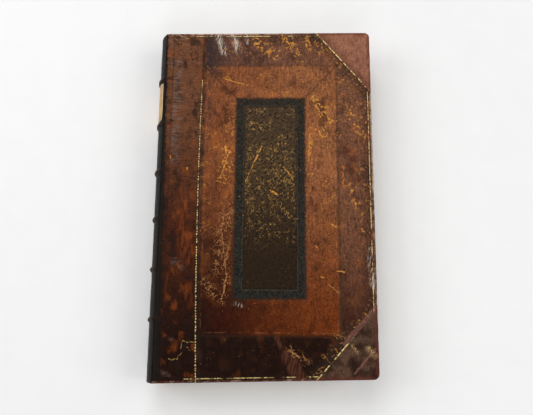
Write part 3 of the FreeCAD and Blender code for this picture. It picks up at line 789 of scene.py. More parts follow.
def strip_calf():
    """Strip of newer calf along the spine, scuffed and streaked."""
    finish = Finish("strip_calf")
    nodes = finish.nodes
    # Darker towards the tail and lighter towards the head: partly the calf's own tone, partly painted light
    # and shade.
    low = nodes.blend(finish.y.fade(30, 170), shade(24, 6, 1), shade(62, 29, 14))
    base = nodes.blend(finish.y.fade(150, 330), low, shade(99, 62, 41))
    patchy, small = leather_ground(finish, base, 0.44)
    pushed = wandering(finish)
    cloud = finish.grain(10.0, 5.0, (1, 0.7, 1))
    finish.coat(cloud.fade(0.54, 0.72) * 0.5, colour=shade(134, 66, 28))
    finish.coat(cloud.fade(0.47, 0.32) * 0.75, colour=shade(30, 17, 12))
    smears = finish.grain(3.0, 6.0, (1, 0.2, 1))
    orange = shade(146, 68, 24)
    smeared = smears.fade(0.42, 0.68) * 0.5
    finish.wear(pushed, STRIP_FLAKES, 5.0, smeared, colour=orange, roughness=0.55, height=-0.05)
    wrinkles = finish.grain(2.0, 3.0, (0.3, 1, 1))
    scuffed = finish.marks(pushed, STRIP_SCUFFS, 3.0) * patchy.fade(0.38, 0.60) * finish.front
    grey = wrinkles.fade(0.40, 0.60) * 0.4 + 0.12
    finish.coat(scuffed * grey, colour=shade(124, 106, 98), roughness=0.65)
    finish.coat(scuffed * wrinkles.fade(0.56, 0.48), height=-0.35)
    crooked = wandering(finish, 5.0, 4.0)
    broken = small.fade(0.32, 0.52) * 0.75
    finish.wear(crooked, STRIP_SCRATCHES, 0.5, broken, colour=shade(192, 154, 96), roughness=0.7)
    finish.wear(pushed, STRIP_SPOTS, 0.6, 0.85, colour=shade(206, 128, 34), roughness=0.6)
    finish.wear(pushed, STRIP_NICKS, 0.9, 0.8, colour=shade(26, 18, 14), height=-0.3)

    # Painted shade of the rounded spine side in the spine's colour, wider towards the tail; the bands' ends
    # darker; painted shade in the crease of the joint
    reach = (HEIGHT - finish.y) * (SPINE_SHADE_REACH / HEIGHT) + 0.6
    uneven = (patchy - 0.5) * 6.0 + (small - 0.5) * 3.0
    spine_side_shade = (finish.x - reach + uneven).fade(1.6, -1.6) * abs(finish.z - MID_HEIGHT).fade(15, 17)
    finish.coat(spine_side_shade * 0.94, colour=book_colour("spine"), roughness=0.4)
    band = band_distance(finish).fade(3.4, 1.2) * finish.x.fade(11, 6)
    finish.coat(band * finish.outer * 0.65, colour=shade(26, 18, 13))
    # Painted shade in the crease of the joint, over its shallow groove.
    crease = finish.rule(finish.x - CREASE_X + uneven * 0.2, 0.8, 0.9)
    finish.coat(crease * finish.outer * 0.6, colour=shade(30, 17, 12), height=-0.2)
    edge_lines(finish)
    gilt_roll(finish)
    return finish.finish(specular=LEATHER_SHINE)


def band_distance(finish):
    """How far along the spine from the nearest raised band."""
    nearest = None
    for place in BAND_PLACES:
        near = abs(finish.y - place)
        nearest = near if nearest is None else nearest.least(near)
    return nearest


def spine_calf():
    """Near-black calf of the spine, dark partly as painted shade of the rounded spine, rubbed brown on the
    bands and at the caps.
    """
    finish = Finish("spine_calf")
    leather_ground(finish, book_colour("spine"), 0.42)
    cracks = finish.cracks(3.5, 0.06, (1, 0.5, 1))
    finish.coat(cracks * 0.5, colour=shade(16, 12, 10), height=-0.15)
    band = band_distance(finish)
    rubbed = finish.grain(3.0, 3.0).fade(0.42, 0.62)
    finish.coat(band.fade(3.0, 1.0) * rubbed * 0.5, colour=shade(78, 54, 40), roughness=0.5)
    finish.coat(finish.rule(band - 5.6, 0.7, 0.3) * 0.6, colour=shade(12, 10, 8), height=-0.2)
    ends = finish.y.least(HEIGHT - finish.y)
    finish.coat(ends.fade(4.0, 0.5) * rubbed * 0.7, colour=shade(96, 62, 44), roughness=0.58)
    return finish.finish(specular=LEATHER_SHINE)


def mend_calf():
    """Smoother, pinker calf of the mended corners."""
    finish = Finish("mend_calf")
    nodes = finish.nodes
    cloud = finish.grain(14.0, 4.0).fade(0.34, 0.66)
    # The tail corner is darker than the head corner partly as painted shade; the rest is the calf's own tone.
    tail_tone = nodes.blend(cloud, shade(36, 21, 14), shade(84, 60, 46))
    head_tone = nodes.blend(slant(finish, HEAD_CORNER).fade(1, 14), shade(112, 70, 52), book_colour("mend"))
    base = nodes.blend(finish.y.fade(150, 250), tail_tone, head_tone)
    patchy, small = leather_ground(finish, base, 0.5, 0.8, UPRIGHT)
    for ends in CORNERS:
        beyond = slant(finish, ends)
        finish.coat(finish.rule(beyond - 0.2, 1.0, 0.7) * 0.6, colour=shade(44, 24, 17), height=-0.15)
        dashes = finish.grain(5.0, 2.0).fade(0.42, 0.56)
        unworn = finish.y.fade(52, 40).most(finish.y.fade(180, 190))
        gilding(finish, finish.rule(beyond - 1.2, 1.0, 0.5) * dashes * unworn)
    pushed = wandering(finish)
    pink = (small * 0.8 + 0.35) * 0.8
    finish.wear(pushed, TAIL_DIAGONAL_WEAR, 1.2, pink, colour=shade(138, 94, 80), roughness=0.65)
    fine = finish.grain(1.5, 2.0).fade(0.4, 0.56) * 0.7
    finish.wear(pushed, CORNER_STAINS, 1.6, fine, colour=shade(184, 150, 100), roughness=0.7)
    depth = edge_depth(finish)
    finish.coat((depth + (patchy - 0.5) * 8).fade(5.0, 1.0) * 0.6, colour=shade(96, 44, 34), roughness=0.6)
    return finish.finish(specular=LEATHER_SHINE)


def label_skin():
    """Tan label with a pale line inside its edges and no lettering."""
    finish = Finish("label_skin")
    leather_ground(finish, book_colour("label"), 0.48, 0.5)
    ends = (finish.y - LABEL_TAIL).least(LABEL_HEAD - finish.y)
    sides = (math.radians(LABEL_ANGLE) - abs(finish.spine_angle())) * SPINE_RADIUS
    depth = ends.least(sides)
    finish.coat(depth.fade(1.4, 0.4) * 0.7, colour=shade(236, 220, 176), roughness=0.6)
    finish.coat(finish.rule(depth - 2.6, 0.7), colour=shade(112, 72, 40), height=-0.1)
    return finish.finish()


def paper():
    """Old laid paper, foxed, and browned along its edges by the leather."""
    finish = Finish("old_paper")
    nodes = finish.nodes
    cloudy = finish.grain(40.0, 4.0)
    base = nodes.blend(cloudy.fade(0.35, 0.65), book_colour("paper"), shade(210, 192, 156))
    finish.start(base, finish.grain(3.0) * 0.1 + 0.8)
    laid = abs((finish.y / LAID_PITCH).fraction() - 0.5)
    chain = finish.rule(abs((finish.x / CHAIN_PITCH).fraction() - 0.5) * CHAIN_PITCH, 0.6, 0.3)
    finish.coat(laid, height=0.05)
    finish.coat(chain * 0.25, colour=shade(196, 176, 138), height=-0.04)
    spots = finish.grain(5.0, 4.0).fade(0.66, 0.74)
    finish.coat(spots * 0.5, colour=shade(158, 112, 62))
    depth = edge_depth(finish).least(finish.x)
    brown = (depth + (finish.grain(12.0, 3.0) - 0.5) * 12.0).fade(26, 6)
    finish.coat(brown * 0.55, colour=shade(168, 126, 80), roughness=0.85)
    return finish.finish(strength=0.6)


def leaf_edges():
    """Edges of the leaves: fine lines, dust and a few foxed spots."""
    finish = Finish("leaf_edges")
    nodes = finish.nodes
    lines = finish.grain(0.22, 2.0, (0.012, 0.012, 1))
    groups = finish.grain(1.6, 2.0, (0.01, 0.01, 1))
    base = nodes.blend(lines.fade(0.34, 0.66), shade(150, 126, 92), book_colour("leaves"))
    finish.start(nodes.blend(groups.fade(0.5, 0.72) * 0.5, base, shade(126, 98, 66)), lines * 0.1 + 0.78)
    dust = finish.grain(16.0, 4.0)
    finish.coat(dust.fade(0.48, 0.70) * 0.4, colour=shade(122, 100, 74))
    finish.coat(lines, height=0.25)
    return finish.finish()


def fibrous(name, fibres, dark, light, roughness, height):
    """Matte fibre between a dark and a light colour; fibres gives its grain's size, detail and stretch."""
    finish = Finish(name)
    grain = finish.grain(*fibres)
    finish.start(finish.nodes.blend(grain, dark, light), grain * 0.1 + roughness)
    finish.coat(grain, height=height)
    return finish.finish()


def pasteboard():
    """Grey-brown board of pasted fibre."""
    return fibrous("pasteboard", (2.4, 5.0, (1, 1, 4)), shade(112, 92, 66), shade(168, 142, 108), 0.8, 0.2)


def hemp():
    """Twisted hemp of the sewing cords."""
    return fibrous("hemp_cord", (0.9, 3.0, (1, 2.5, 1)), shade(150, 128, 92), shade(204, 184, 142), 0.75, 0.3)


def silk():
    """Endband silk wound in two faded colours."""
    finish = Finish("silk")
    nodes = finish.nodes
    turn = finish.spine_angle() * (math.degrees(1) / SILK_BLOCK)
    second = abs(turn.fraction() - 0.5).fade(0.22, 0.28)
    thread = abs((turn * SILK_THREADS).fraction() - 0.5)
    colour = nodes.blend(second, shade(206, 188, 146), shade(128, 74, 56))
    # Darker between the threads: painted shade in the grooves of the winding.
    finish.start(nodes.blend(thread.fade(0.30, 0.5) * 0.5, colour, shade(96, 70, 48)), thread * 0.2 + 0.5)
    finish.coat(thread, height=-0.25)
    return finish.finish()


def floor_paper():
    """Pale paper that keeps the shadow near the book and is plain white to the camera far from it."""
    material = bpy.data.materials.new("floor_paper")
    material.use_nodes = True
    nodes = Nodes(material.node_tree)
    place = nodes.node("ShaderNodeTexCoord", {}, {}, "Object")
    far = nodes.measure("LENGTH", place).fade(FLOOR_WHITE_FROM, FLOOR_WHITE_TO)
    seen = nodes.seen_as_white()
    speckle = nodes.grain(place, 0.03)
    colour = nodes.blend(speckle, (0.90, 0.90, 0.90), (0.94, 0.94, 0.94))
    values = {"Base Color": colour, "Roughness": 0.9, "Specular IOR Level": 0.1}
    near = nodes.node("ShaderNodeBsdfPrincipled", {}, values, "BSDF")
    white = nodes.node("ShaderNodeEmission", {}, {"Color": (1, 1, 1), "Strength": 1.0}, "Emission")
    mixed = nodes.node("ShaderNodeMixShader", {}, {0: far * seen, 1: near, 2: white}, "Shader")
    nodes.node("ShaderNodeOutputMaterial", {}, {"Surface": mixed})
    return material


# Shapes


def smooth_step(start, end, value):
    """0 before start and 1 after end, smooth between them."""
    share = min(max((value - start) / (end - start), 0.0), 1.0)
    return share * share * (3 - 2 * share)


def lumps(point, size):
    """Soft noise from -1 to 1 whose lumps are about size millimetres across."""
    return noise.noise(Vector(point) / size)


def band_rise(along, joint_distance, height):
    """How far a raised band lifts the leather; it fades out past the joint."""
    nearest = min(abs(along - place) for place in BAND_PLACES)
    shape = smooth_step(BAND_HALF, BAND_HALF * 0.25, nearest)
    return height * shape * (1 - smooth_step(*BAND_FADE, joint_distance))


def spine_point(angle, radius):
    """Point of the spine's cross-section, the angle counted up from level, in degrees."""
    turn = math.radians(angle)
    return SPINE_X - radius * math.cos(turn), MID_HEIGHT + radius * math.sin(turn)


def spine_lumps(angle, along):
    """The unevenness of the spine leather, which the label follows."""
    return lumps((angle, along, 0), 16) * 0.2 + lumps((angle, along * 0.4, 5), 5) * 0.08


def joint_path(back):
    """Point and outward direction of the strip, at a distance back from where it leaves the flat cover."""
    if back <= BEND_LENGTH:
        share = back / BEND_LENGTH
        end_x, end_z = spine_point(BEND_END_ANGLE, SPINE_RADIUS)
        turn = math.radians(BEND_END_ANGLE)
        start = Vector((BEND_START, THICKNESS))
        end = Vector((end_x, end_z))
        leave = Vector((-1, 0)) * BEND_LENGTH
        arrive = Vector((-math.sin(turn), -math.cos(turn))) * BEND_LENGTH
        point = (
            start * (2 * share**3 - 3 * share**2 + 1)
            + leave * (share**3 - 2 * share**2 + share)
            + end * (3 * share**2 - 2 * share**3)
            + arrive * (share**3 - share**2)
        )
        run = (
            start * (6 * share**2 - 6 * share)
            + leave * (3 * share**2 - 4 * share + 1)
            + end * (6 * share - 6 * share**2)
            + arrive * (3 * share**2 - 2 * share)
        ).normalized()
        return point, Vector((run.y, -run.x))
    angle = BEND_END_ANGLE - math.degrees((back - BEND_LENGTH) / SPINE_RADIUS)
    turn = math.radians(angle)
    return Vector(spine_point(angle, SPINE_RADIUS)), Vector((-math.cos(turn), math.sin(turn)))


def seam_shift(along):
    """How far the seam of the strip lies right of its straight place, to follow the gilt roll."""
    return ROLL_X + ROLL_BOW * (along - ROLL_MIDDLE) ** 2 + SEAM_PAST_ROLL - SEAM_X


def slice_at(bm, point, normal, drop=None):
    """Cuts the mesh with a plane; drop says which side goes, behind or ahead."""
    bmesh.ops.bisect_plane(
        bm,
        geom=bm.verts[:] + bm.edges[:] + bm.faces[:],
        plane_co=point,
        plane_no=normal,
        clear_inner=drop == "behind",
        clear_outer=drop == "ahead",
    )


def steps(start, end, spacing):
    """Even places from start to end, not more than spacing apart, without the two ends."""
    count = max(1, math.ceil((end - start) / spacing))
    return [start + (end - start) * index / count for index in range(1, count)]


def cover_blank():
    """The whole leather of the front cover in one skin, with rounded edges, turned in underneath."""
    sizes = bpy.context.scene.book_sizes
    bm = bmesh.new()
    left = BEND_START - BEND_LENGTH - SKIN_SPARE
    outline = ((left, 0), (0, 0), (COVER_WIDTH, TAIL_RISE), (COVER_WIDTH, HEIGHT), (left, HEIGHT))
    corners = [bm.verts.new((x, y, THICKNESS)) for x, y in outline]
    bm.faces.new(corners)
    bmesh.ops.bevel(
        bm, geom=corners[2:4], offset=CORNER_RADIUS, segments=6, profile=0.5, affect="VERTICES", material=-1
    )
    grown = bmesh.ops.extrude_face_region(bm, geom=bm.faces[:], use_keep_orig=True)
    moved = [item for item in grown["geom"] if isinstance(item, bmesh.types.BMVert)]
    bmesh.ops.translate(bm, verts=moved, vec=(0, 0, LEATHER_LOW - THICKNESS))
    bmesh.ops.recalc_face_normals(bm, faces=bm.faces[:])
    rims = [edge for edge in bm.edges if is_rim(edge, left)]
    bmesh.ops.bevel(
        bm, geom=rims, offset=sizes.edge_round, segments=4, profile=0.5, affect="EDGES", material=-1
    )
    under = [face for face in bm.faces if face.normal.z < -0.99]
    bmesh.ops.inset_region(
        bm, faces=under, thickness=TURN_IN - sizes.edge_round, use_boundary=True, use_even_offset=True
    )
    hidden = [face for face in bm.faces if face in under or face.calc_center_median().x < left + 0.5]
    bmesh.ops.delete(bm, geom=hidden, context="FACES")
    return bm


def is_rim(edge, left):
    """Whether an edge runs along the head, fore-edge or tail of the blank's top or bottom."""
    first, second = (vert.co for vert in edge.verts)
    level = abs(first.z - second.z) < 0.01
    return level and max(first.x, second.x) > left + 0.5


def grid_cover(bm):
    """Divides the skin finely enough to bend at the joint, to rise over the bands and to lie unevenly."""
    cell = bpy.context.scene.book_sizes.cell
    joint_end = BEND_START - BEND_LENGTH - STRIP_TUCK
    slice_at(bm, (joint_end, 0, 0), (1, 0, 0), "behind")
    places = steps(joint_end, BEND_START, JOINT_CELL) + [BEND_START]
    places += steps(BEND_START, CREASE_END, CREASE_CELL) + [CREASE_END]
    places += steps(CREASE_END, COVER_WIDTH - 2, cell)
    for place in places:
        slice_at(bm, (place, 0, 0), (1, 0, 0))
    for place in steps(2, HEIGHT - 2, cell):
        slice_at(bm, (0, place, 0), (0, 1, 0))
    for band in BAND_PLACES:
        for offset in BAND_CUTS:
            slice_at(bm, (0, band + offset, 0), (0, 1, 0))


def settle_cover(bm):
    """Lays the skin down: worn edges, an uneven top, the bands' ends and the bend at the joint."""
    sizes = bpy.context.scene.book_sizes
    wall_top = THICKNESS - sizes.edge_round - 0.05
    middles = ((face, face.calc_center_median()) for face in bm.faces)
    loose = [face for face, middle in middles if middle.x < 1.0 and middle.z < wall_top]
    bmesh.ops.delete(bm, geom=loose, context="FACES")
    for vert in bm.verts:
        x, y, z = vert.co
        top = smooth_step(THICKNESS - 2, THICKNESS, z)
        inside = min(COVER_WIDTH - x, HEIGHT - y, y)
        sink = (1 - lumps((x, y, 0), 38) * 0.6 - lumps((x, y, 9), 13) * 0.4) / 2 * sizes.unevenness
        edge = 1 - smooth_step(0, 8, inside)
        dip = CREASE_DEPTH * math.exp(-(((x - CREASE_X) / CREASE_HALF) ** 2))
        vert.co.z += top * (band_rise(y, x, sizes.band_height) - sink - dip - sizes.seam_step)
        vert.co.z -= top * edge * abs(lumps((x, y, 30), 9)) * sizes.edge_wear
        if x > BEND_START:
            taper = smooth_step(0, 1, x / COVER_WIDTH)
            vert.co.x -= edge * taper * abs(lumps((0, y, 50), 11)) * sizes.edge_wear
            side = -1 if y > HEIGHT / 2 else 1
            vert.co.y += edge * side * abs(lumps((x, 0, 70), 11)) * sizes.edge_wear
        near_seam = 1 - smooth_step(0, 14, abs(x - SEAM_X))
        vert.co.x += near_seam * seam_shift(y)
        if x < BEND_START:
            point, outward = joint_path(BEND_START - x)
            above = vert.co.z - THICKNESS
            tucked = -TUCK_DEPTH * smooth_step(STRIP_TUCK - 0.8, STRIP_TUCK, BEND_START - x - BEND_LENGTH)
            if z > LEATHER_LOW + 3:
                vert.co.x = point.x + outward.x * (above + tucked)
                vert.co.z = point.y + outward.y * (above + tucked)
            else:
                vert.co.z += (point.y - THICKNESS) * smooth_step(LEATHER_LOW, THICKNESS, z)


def face_outwards(bm, direction):
    """Turns the faces so that the outermost one in a direction looks that way."""
    bmesh.ops.recalc_face_normals(bm, faces=bm.faces[:])
    way = Vector(direction)
    outermost = max(bm.faces, key=lambda face: face.calc_center_median().dot(way) + abs(face.normal.dot(way)))
    if outermost.normal.dot(way) < 0:
        bmesh.ops.reverse_faces(bm, faces=bm.faces[:])


def new_piece(name, bm, material, nodes, body=None, thickness=None, sharp=42.0):
    """Makes an object of a mesh in book millimetres, with its finish, and puts it in place of CAD nodes."""
    bmesh.ops.transform(bm, matrix=TO_FRAME, verts=bm.verts[:])
    mesh = bpy.data.meshes.new(name)
    bm.to_mesh(mesh)
    bm.free()
    for polygon in mesh.polygons:
        polygon.use_smooth = True
    mesh.set_sharp_from_angle(angle=math.radians(sharp))
    made = bpy.data.objects.new(name, mesh)
    bpy.context.scene.collection.objects.link(made)
    mesh.materials.append(material)
    if thickness:
        wall = made.modifiers.new("wall", "SOLIDIFY")
        wall.thickness = thickness * MM
        wall.offset = -1
        wall.use_even_offset = False
    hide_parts(*nodes)
    if body:
        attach(made, body)
    return made


def corner_cut(bm, ends, drop):
    """Cuts the skin along the slanted edge of a mended corner."""
    first, side = line_side(ends)
    slice_at(bm, first.to_3d(), side.to_3d(), drop)


class BOOK_OT_covers(bpy.types.Operator):
    """Leather of both covers: the strip along the spine, the old side and the mended corners."""

    bl_idname = "book.covers"
    bl_label = "Cover leather"

    def execute(self, context):
        sizes = context.scene.book_sizes
        blank = cover_blank()
        grid_cover(blank)
        finishes = {"strip": strip_calf(), "side": old_calf(), "mend": mend_calf()}
        for side in ("front", "back"):
            self.cut_pieces(blank, side, sizes, finishes)
        blank.free()
        return {"FINISHED"}

    def cut_pieces(self, blank, side, sizes, finishes):
        """Cuts one cover's skin into its four pieces."""
        side_cuts = ((None, "behind"), (HEAD_CORNER, "ahead"), (TAIL_CORNER, "ahead"))
        cuts = {
            "joint_leather": ("strip", "spine_calf", ((None, "ahead"),)),
            "side_leather": ("side", "old_calf", side_cuts),
            "head_corner": ("mend", "corner_calf", ((HEAD_CORNER, "behind"),)),
            "tail_corner": ("mend", "corner_calf", ((TAIL_CORNER, "behind"),)),
        }
        for part, (finish, slot, planes) in cuts.items():
            bm = blank.copy()
            for ends, drop in planes:
                if ends is None:
                    slice_at(bm, (SEAM_X, 0, 0), (1, 0, 0), drop)
                else:
                    corner_cut(bm, ends, drop)
            if part.endswith("corner"):
                slice_at(bm, (0, HEIGHT / 2, 0), (0, 1, 0), "behind" if part == "head_corner" else "ahead")
            settle_cover(bm)
            strip = part == "joint_leather"
            if strip:
                top = [vert for vert in bm.verts if vert.co.z > THICKNESS - 1]
                bmesh.ops.translate(bm, verts=top, vec=(0, 0, sizes.seam_step))
            if side == "back":
                bmesh.ops.transform(bm, matrix=TURN_OVER, verts=bm.verts[:])
            face_outwards(bm, (0, 0, 1 if side == "front" else -1))
            body = None if strip else side + "_cover"
            node = side + "_" + part
            made = new_piece(node + "_skin", bm, finishes[finish], [node], body, LEATHER_WALL)
            if strip:
                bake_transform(made)


class BOOK_OT_spine(bpy.types.Operator):
    """Spine leather with its bands and headcaps, and the label on it."""

    bl_idname = "book.spine"
    bl_label = "Spine"

    def execute(self, context):
        sizes = context.scene.book_sizes
        bm = bmesh.new()
        bmesh.ops.create_grid(bm, x_segments=44, y_segments=SPINE_ROWS, size=1.0)
        for vert in bm.verts:
            angle = vert.co.x * SPINE_ANGLE
            along = HEIGHT / 2 + vert.co.y * (HEIGHT / 2 - CAP_ROUND)
            self.lay(vert, angle, along, sizes)
        ends = self.ends(bm)
        for head in (True, False):
            self.cap(bm, ends[head], head, sizes)
        face_outwards(bm, (-1, 0, 0))
        new_piece("spine_skin", bm, spine_calf(), ["spine_leather"], "book_block", LEATHER_WALL)
        self.label()
        return {"FINISHED"}

    def lay(self, vert, angle, along, sizes):
        """Puts a point of the flat grid on the spine."""
        joint_distance = math.radians(abs(angle) - JOINT_ANGLE) * SPINE_RADIUS
        rise = band_rise(along, joint_distance, sizes.band_height) + spine_lumps(angle, along)
        x, z = spine_point(angle, SPINE_RADIUS + rise)
        vert.co = (x, along, z)

    def ends(self, bm):
        """The grid's edges at the tail and at the head."""
        found = {True: [], False: []}
        for edge in bm.edges:
            middle = (edge.verts[0].co.y + edge.verts[1].co.y) / 2
            if edge.is_boundary and abs(edge.verts[0].co.y - edge.verts[1].co.y) < 0.01:
                found[middle > HEIGHT / 2].append(edge)
        return found

    def cap(self, bm, edges, head, sizes):
        """Rolls the leather inwards over the endband, in a few steps of out and in."""
        outward = 1 if head else -1
        reach = sizes.cap_reach
        turns = ((0.55, 0.12), (0.4, 0.35), (0.2, 0.6), (0.0, reach - 1.6), (-0.35, 0.4), (-0.6, 0.15))
        for out, inward in turns:
            grown = bmesh.ops.extrude_edge_only(bm, edges=edges)["geom"]
            edges = [item for item in grown if isinstance(item, bmesh.types.BMEdge)]
            for vert in (item for item in grown if isinstance(item, bmesh.types.BMVert)):
                offset = Vector((vert.co.x - SPINE_X, 0, vert.co.z - MID_HEIGHT))
                angle = math.degrees(math.atan2(abs(offset.z), -offset.x))
                share = 1 - 0.8 * smooth_step(30, 43, angle)
                vert.co -= offset.normalized() * inward * share
                vert.co.y += outward * out

    def label(self):
        """A thin label bent round the spine, its corners worn round."""
        bm = bmesh.new()
        bmesh.ops.create_grid(bm, x_segments=30, y_segments=30, size=1.0)
        for vert in bm.verts:
            pull = 1 - 0.03 * (abs(vert.co.x) * abs(vert.co.y)) ** 8
            angle = vert.co.x * LABEL_ANGLE * pull
            along = (LABEL_TAIL + LABEL_HEAD) / 2 + vert.co.y * (LABEL_HEAD - LABEL_TAIL) / 2 * pull
            x, z = spine_point(angle, SPINE_RADIUS + LABEL_LIFT + spine_lumps(angle, along))
            vert.co = (x, along, z)
        face_outwards(bm, (-1, 0, 0))
        new_piece("label_skin", bm, label_skin(), ["spine_label"], "book_block", LABEL_WALL)


class BOOK_OT_endbands(bpy.types.Operator):
    """Endbands of wound silk at the head and the tail."""

    bl_idname = "book.endbands"
    bl_label = "Endbands"

    def execute(self, context):
        finish = silk()
        for end in ("head", "tail"):
            node = end + "_endband"
            low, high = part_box(node)
            along = ((low.y + high.y) / 2 - TAIL_Y) / MM
            radius = SPINE_X + (JOINT_X - low.x) / MM - BAND_RADIUS
            bm = bmesh.new()
            turn = Matrix.Rotation(math.radians(SILK_ANGLE), 4, "Y")
            centre = Matrix.Translation((SPINE_X, along, MID_HEIGHT))
            place = centre @ turn @ Matrix.Translation((-radius, 0, 0))
            bmesh.ops.create_circle(bm, segments=12, radius=BAND_RADIUS, matrix=place)
            bmesh.ops.spin(
                bm,
                geom=bm.verts[:] + bm.edges[:],
                cent=(SPINE_X, 0, MID_HEIGHT),
                axis=(0, 1, 0),
                angle=-math.radians(2 * SILK_ANGLE),
                steps=SILK_STEPS,
            )
            for vert in bm.verts:
                offset = Vector((vert.co.x - SPINE_X, 0, vert.co.z - MID_HEIGHT))
                middle = Vector((SPINE_X, along, MID_HEIGHT)) + offset.normalized() * radius
                angle = math.degrees(math.atan2(offset.z, -offset.x))
                thread = abs((angle / SILK_BLOCK * SILK_THREADS) % 1 - 0.5)
                vert.co = middle + (vert.co - middle) * (1 - THREAD_DEPTH * (thread * 2) ** 2)
            bmesh.ops.holes_fill(bm, edges=[edge for edge in bm.edges if edge.is_boundary], sides=0)
            bmesh.ops.recalc_face_normals(bm, faces=bm.faces[:])
            new_piece(node + "_roll", bm, finish, [node], "book_block")
        return {"FINISHED"}


class BOOK_OT_leaves(bpy.types.Operator):
    """The block of leaves with its uneven edges."""

    bl_idname = "book.leaves"
    bl_label = "Leaves"

    def execute(self, context):
        sizes = context.scene.book_sizes
        bm = bmesh.new()
        bm.from_mesh(bpy.data.objects["text_block"].data)
        bmesh.ops.remove_doubles(bm, verts=bm.verts[:], dist=1e-6)
        bmesh.ops.transform(bm, matrix=TO_FRAME.inverted(), verts=bm.verts[:])
        bmesh.ops.dissolve_limit(
            bm,
            angle_limit=math.radians(1),
            verts=bm.verts[:],
            edges=bm.edges[:],
            use_dissolve_boundaries=False,
        )
        for place in steps(LEAF_LOW, LEAF_HIGH, sizes.leaf_step):
            slice_at(bm, (0, 0, place), (0, 0, 1))
        for place in steps(6, COVER_WIDTH - 8, LEAF_CELL):
            slice_at(bm, (place, 0, 0), (1, 0, 0))
        for place in steps(8, HEIGHT - 8, LEAF_CELL):
            slice_at(bm, (0, place, 0), (0, 1, 0))
        bm.normal_update()
        moves = []
        for vert in bm.verts:
            side = Vector((vert.normal.x, vert.normal.y, 0))
            if vert.co.x < 5 or side.length < 0.3 or not LEAF_LOW + 0.1 < vert.co.z < LEAF_HIGH - 0.1:
                continue
            around = lumps((vert.co.x, vert.co.y, vert.co.z * 6), 40)
            group = lumps((0, 0, vert.co.z), 0.7) * 0.7 + around * 0.5
            moves.append((vert, side.normalized() * group * sizes.leaf_jitter))
        for vert, move in moves:
            vert.co += move
        bmesh.ops.recalc_face_normals(bm, faces=bm.faces[:])
        new_piece("leaf_block", bm, leaf_edges(), ["text_block"], "book_block", sharp=25.0)
        return {"FINISHED"}


class BOOK_OT_endpapers(bpy.types.Operator):
    """Flyleaves on the leaves, and pastedowns that show the turned-in leather's edge."""

    bl_idname = "book.endpapers"
    bl_label = "Endpapers"

    def execute(self, context):
        finish = paper()
        for side in ("front", "back"):
            self.sheet(side + "_flyleaf", "book_block", finish, side == "front", 0.0)
            self.sheet(side + "_pastedown", side + "_cover", finish, side == "back", PASTEDOWN_SINK)
        return {"FINISHED"}

    def sheet(self, node, body, finish, looks_up, sink):
        """A sheet of paper in the box of its CAD node, with a cockled face and worn edges."""
        low, high = (TO_FRAME.inverted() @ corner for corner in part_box(node))
        level = high.z if looks_up else low.z
        way = 1 if looks_up else -1
        bm = bmesh.new()
        bmesh.ops.create_grid(bm, x_segments=56, y_segments=94, size=1.0)
        for vert in bm.verts:
            x = low.x + (vert.co.x + 1) / 2 * (high.x - low.x)
            tail = low.y + TAIL_RISE * (x - low.x) / COVER_WIDTH
            y = tail + (vert.co.y + 1) / 2 * (high.y - tail)
            inside = min(high.x - x, y - tail, high.y - y)
            ragged = (1 - smooth_step(0, 6, inside)) * 0.4
            x -= abs(lumps((0, y, 3), 8)) * ragged * smooth_step(0, 1, (x - low.x) / COVER_WIDTH)
            y += lumps((x, 0, 6), 8) * ragged * (0.5 if y < HEIGHT / 2 else -0.5)
            telegraph = smooth_step(PASTEDOWN_EDGE, PASTEDOWN_EDGE + 2.5, inside) * sink
            cockle = (lumps((x, y * 0.5, 0), 30) - 1) * 0.05
            vert.co = (x, y, level + way * (cockle - telegraph))
        face_outwards(bm, (0, 0, way))
        new_piece(node + "_sheet", bm, finish, [node], body, PAPER_WALL)


class BOOK_OT_hidden_parts(bpy.types.Operator):
    """Finishes for the boards and the sewing cords."""

    bl_idname = "book.hidden_parts"
    bl_label = "Boards and cords"

    def execute(self, context):
        board = pasteboard()
        cord = hemp()
        for name in frame["nodes"]:
            if name.endswith("_board"):
                self.dress(name, board)
            if name.startswith("band_cord"):
                self.dress(name, cord)
        return {"FINISHED"}

    def dress(self, name, material):
        """Gives a CAD node its finish."""
        for place in bpy.data.objects[name].material_slots:
            place.material = material


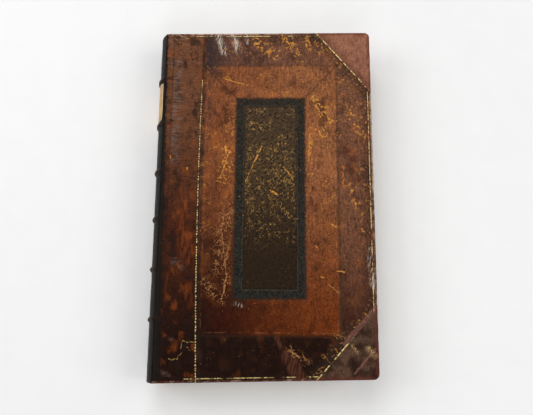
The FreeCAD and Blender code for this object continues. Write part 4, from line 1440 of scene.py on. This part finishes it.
class BOOK_OT_stage(bpy.types.Operator):
    """Floor, soft lights, white surroundings and the camera."""

    bl_idname = "book.stage"
    bl_label = "Stage"

    def execute(self, context):
        self.floor()
        self.surroundings(context.scene)
        for name, (place, size, power) in LAMPS.items():
            self.lamp(name, place, size, power)
        self.camera(context.scene)
        context.scene.view_settings.view_transform = "Standard"
        return {"FINISHED"}

    def floor(self):
        """A wide pale floor under the book."""
        bm = bmesh.new()
        bmesh.ops.create_grid(bm, x_segments=1, y_segments=1, size=FLOOR_HALF)
        bmesh.ops.translate(bm, verts=bm.verts[:], vec=(0, 0, -FLOOR_GAP))
        mesh = bpy.data.meshes.new("floor")
        bm.to_mesh(mesh)
        bm.free()
        made = bpy.data.objects.new("floor", mesh)
        bpy.context.scene.collection.objects.link(made)
        mesh.materials.append(floor_paper())

    def surroundings(self, scene):
        """White to camera, glossy and transmission rays, plain soft light to everything else."""
        world = bpy.data.worlds.new("studio")
        world.use_nodes = True
        nodes = Nodes(world.node_tree)
        seen = nodes.seen_as_white()
        light, white = (
            nodes.node("ShaderNodeBackground", {}, {"Color": (1, 1, 1), "Strength": strength}, "Background")
            for strength in (AMBIENT, 1.0)
        )
        mixed = nodes.node("ShaderNodeMixShader", {}, {0: seen, 1: light, 2: white}, "Shader")
        nodes.node("ShaderNodeOutputWorld", {}, {"Surface": mixed})
        scene.world = world

    def lamp(self, name, place, size, power):
        """A soft square lamp that looks at the middle of the book."""
        data = bpy.data.lights.new(name, "AREA")
        data.shape = "SQUARE"
        data.size = size
        data.energy = power
        made = bpy.data.objects.new(name, data)
        bpy.context.scene.collection.objects.link(made)
        made.location = place
        made.rotation_euler = (-Vector(place)).to_track_quat("-Z", "Y").to_euler()

    def camera(self, scene):
        """The camera, placed by the corners of the cover in the photograph."""
        data = bpy.data.cameras.new("camera")
        data.sensor_width = SENSOR
        data.lens = FOCAL_PIXELS / IMAGE_WIDTH * SENSOR
        made = bpy.data.objects.new("camera", data)
        scene.collection.objects.link(made)
        made.location = CAMERA_PLACE
        made.rotation_euler = CAMERA_TURN
        scene.camera = made


class BOOK_PT_panel(bpy.types.Panel):
    """The book's pieces, sizes and colours."""

    bl_idname = "BOOK_PT_panel"
    bl_label = "Book"
    bl_space_type = "VIEW_3D"
    bl_region_type = "UI"
    bl_category = "Book"

    def draw(self, context):
        for operator in OPERATORS:
            self.layout.operator(operator.bl_idname)
        for group in (context.scene.book_sizes, context.scene.book_colours):
            for name in group.__annotations__:
                self.layout.prop(group, name)


OPERATORS = (
    BOOK_OT_covers,
    BOOK_OT_spine,
    BOOK_OT_endbands,
    BOOK_OT_leaves,
    BOOK_OT_endpapers,
    BOOK_OT_hidden_parts,
    BOOK_OT_stage,
)
CLASSES = (BookSizes, BookColours, *OPERATORS, BOOK_PT_panel)


def register():
    for item in CLASSES:
        bpy.utils.register_class(item)
    bpy.types.Scene.book_sizes = bpy.props.PointerProperty(type=BookSizes)
    bpy.types.Scene.book_colours = bpy.props.PointerProperty(type=BookColours)


def unregister():
    del bpy.types.Scene.book_colours
    del bpy.types.Scene.book_sizes
    for item in reversed(CLASSES):
        bpy.utils.unregister_class(item)


def main():
    register()
    bpy.ops.book.covers()
    bpy.ops.book.spine()
    bpy.ops.book.endbands()
    bpy.ops.book.leaves()
    bpy.ops.book.endpapers()
    bpy.ops.book.hidden_parts()
    bpy.ops.book.stage()


if __name__ == "__main__":
    main()
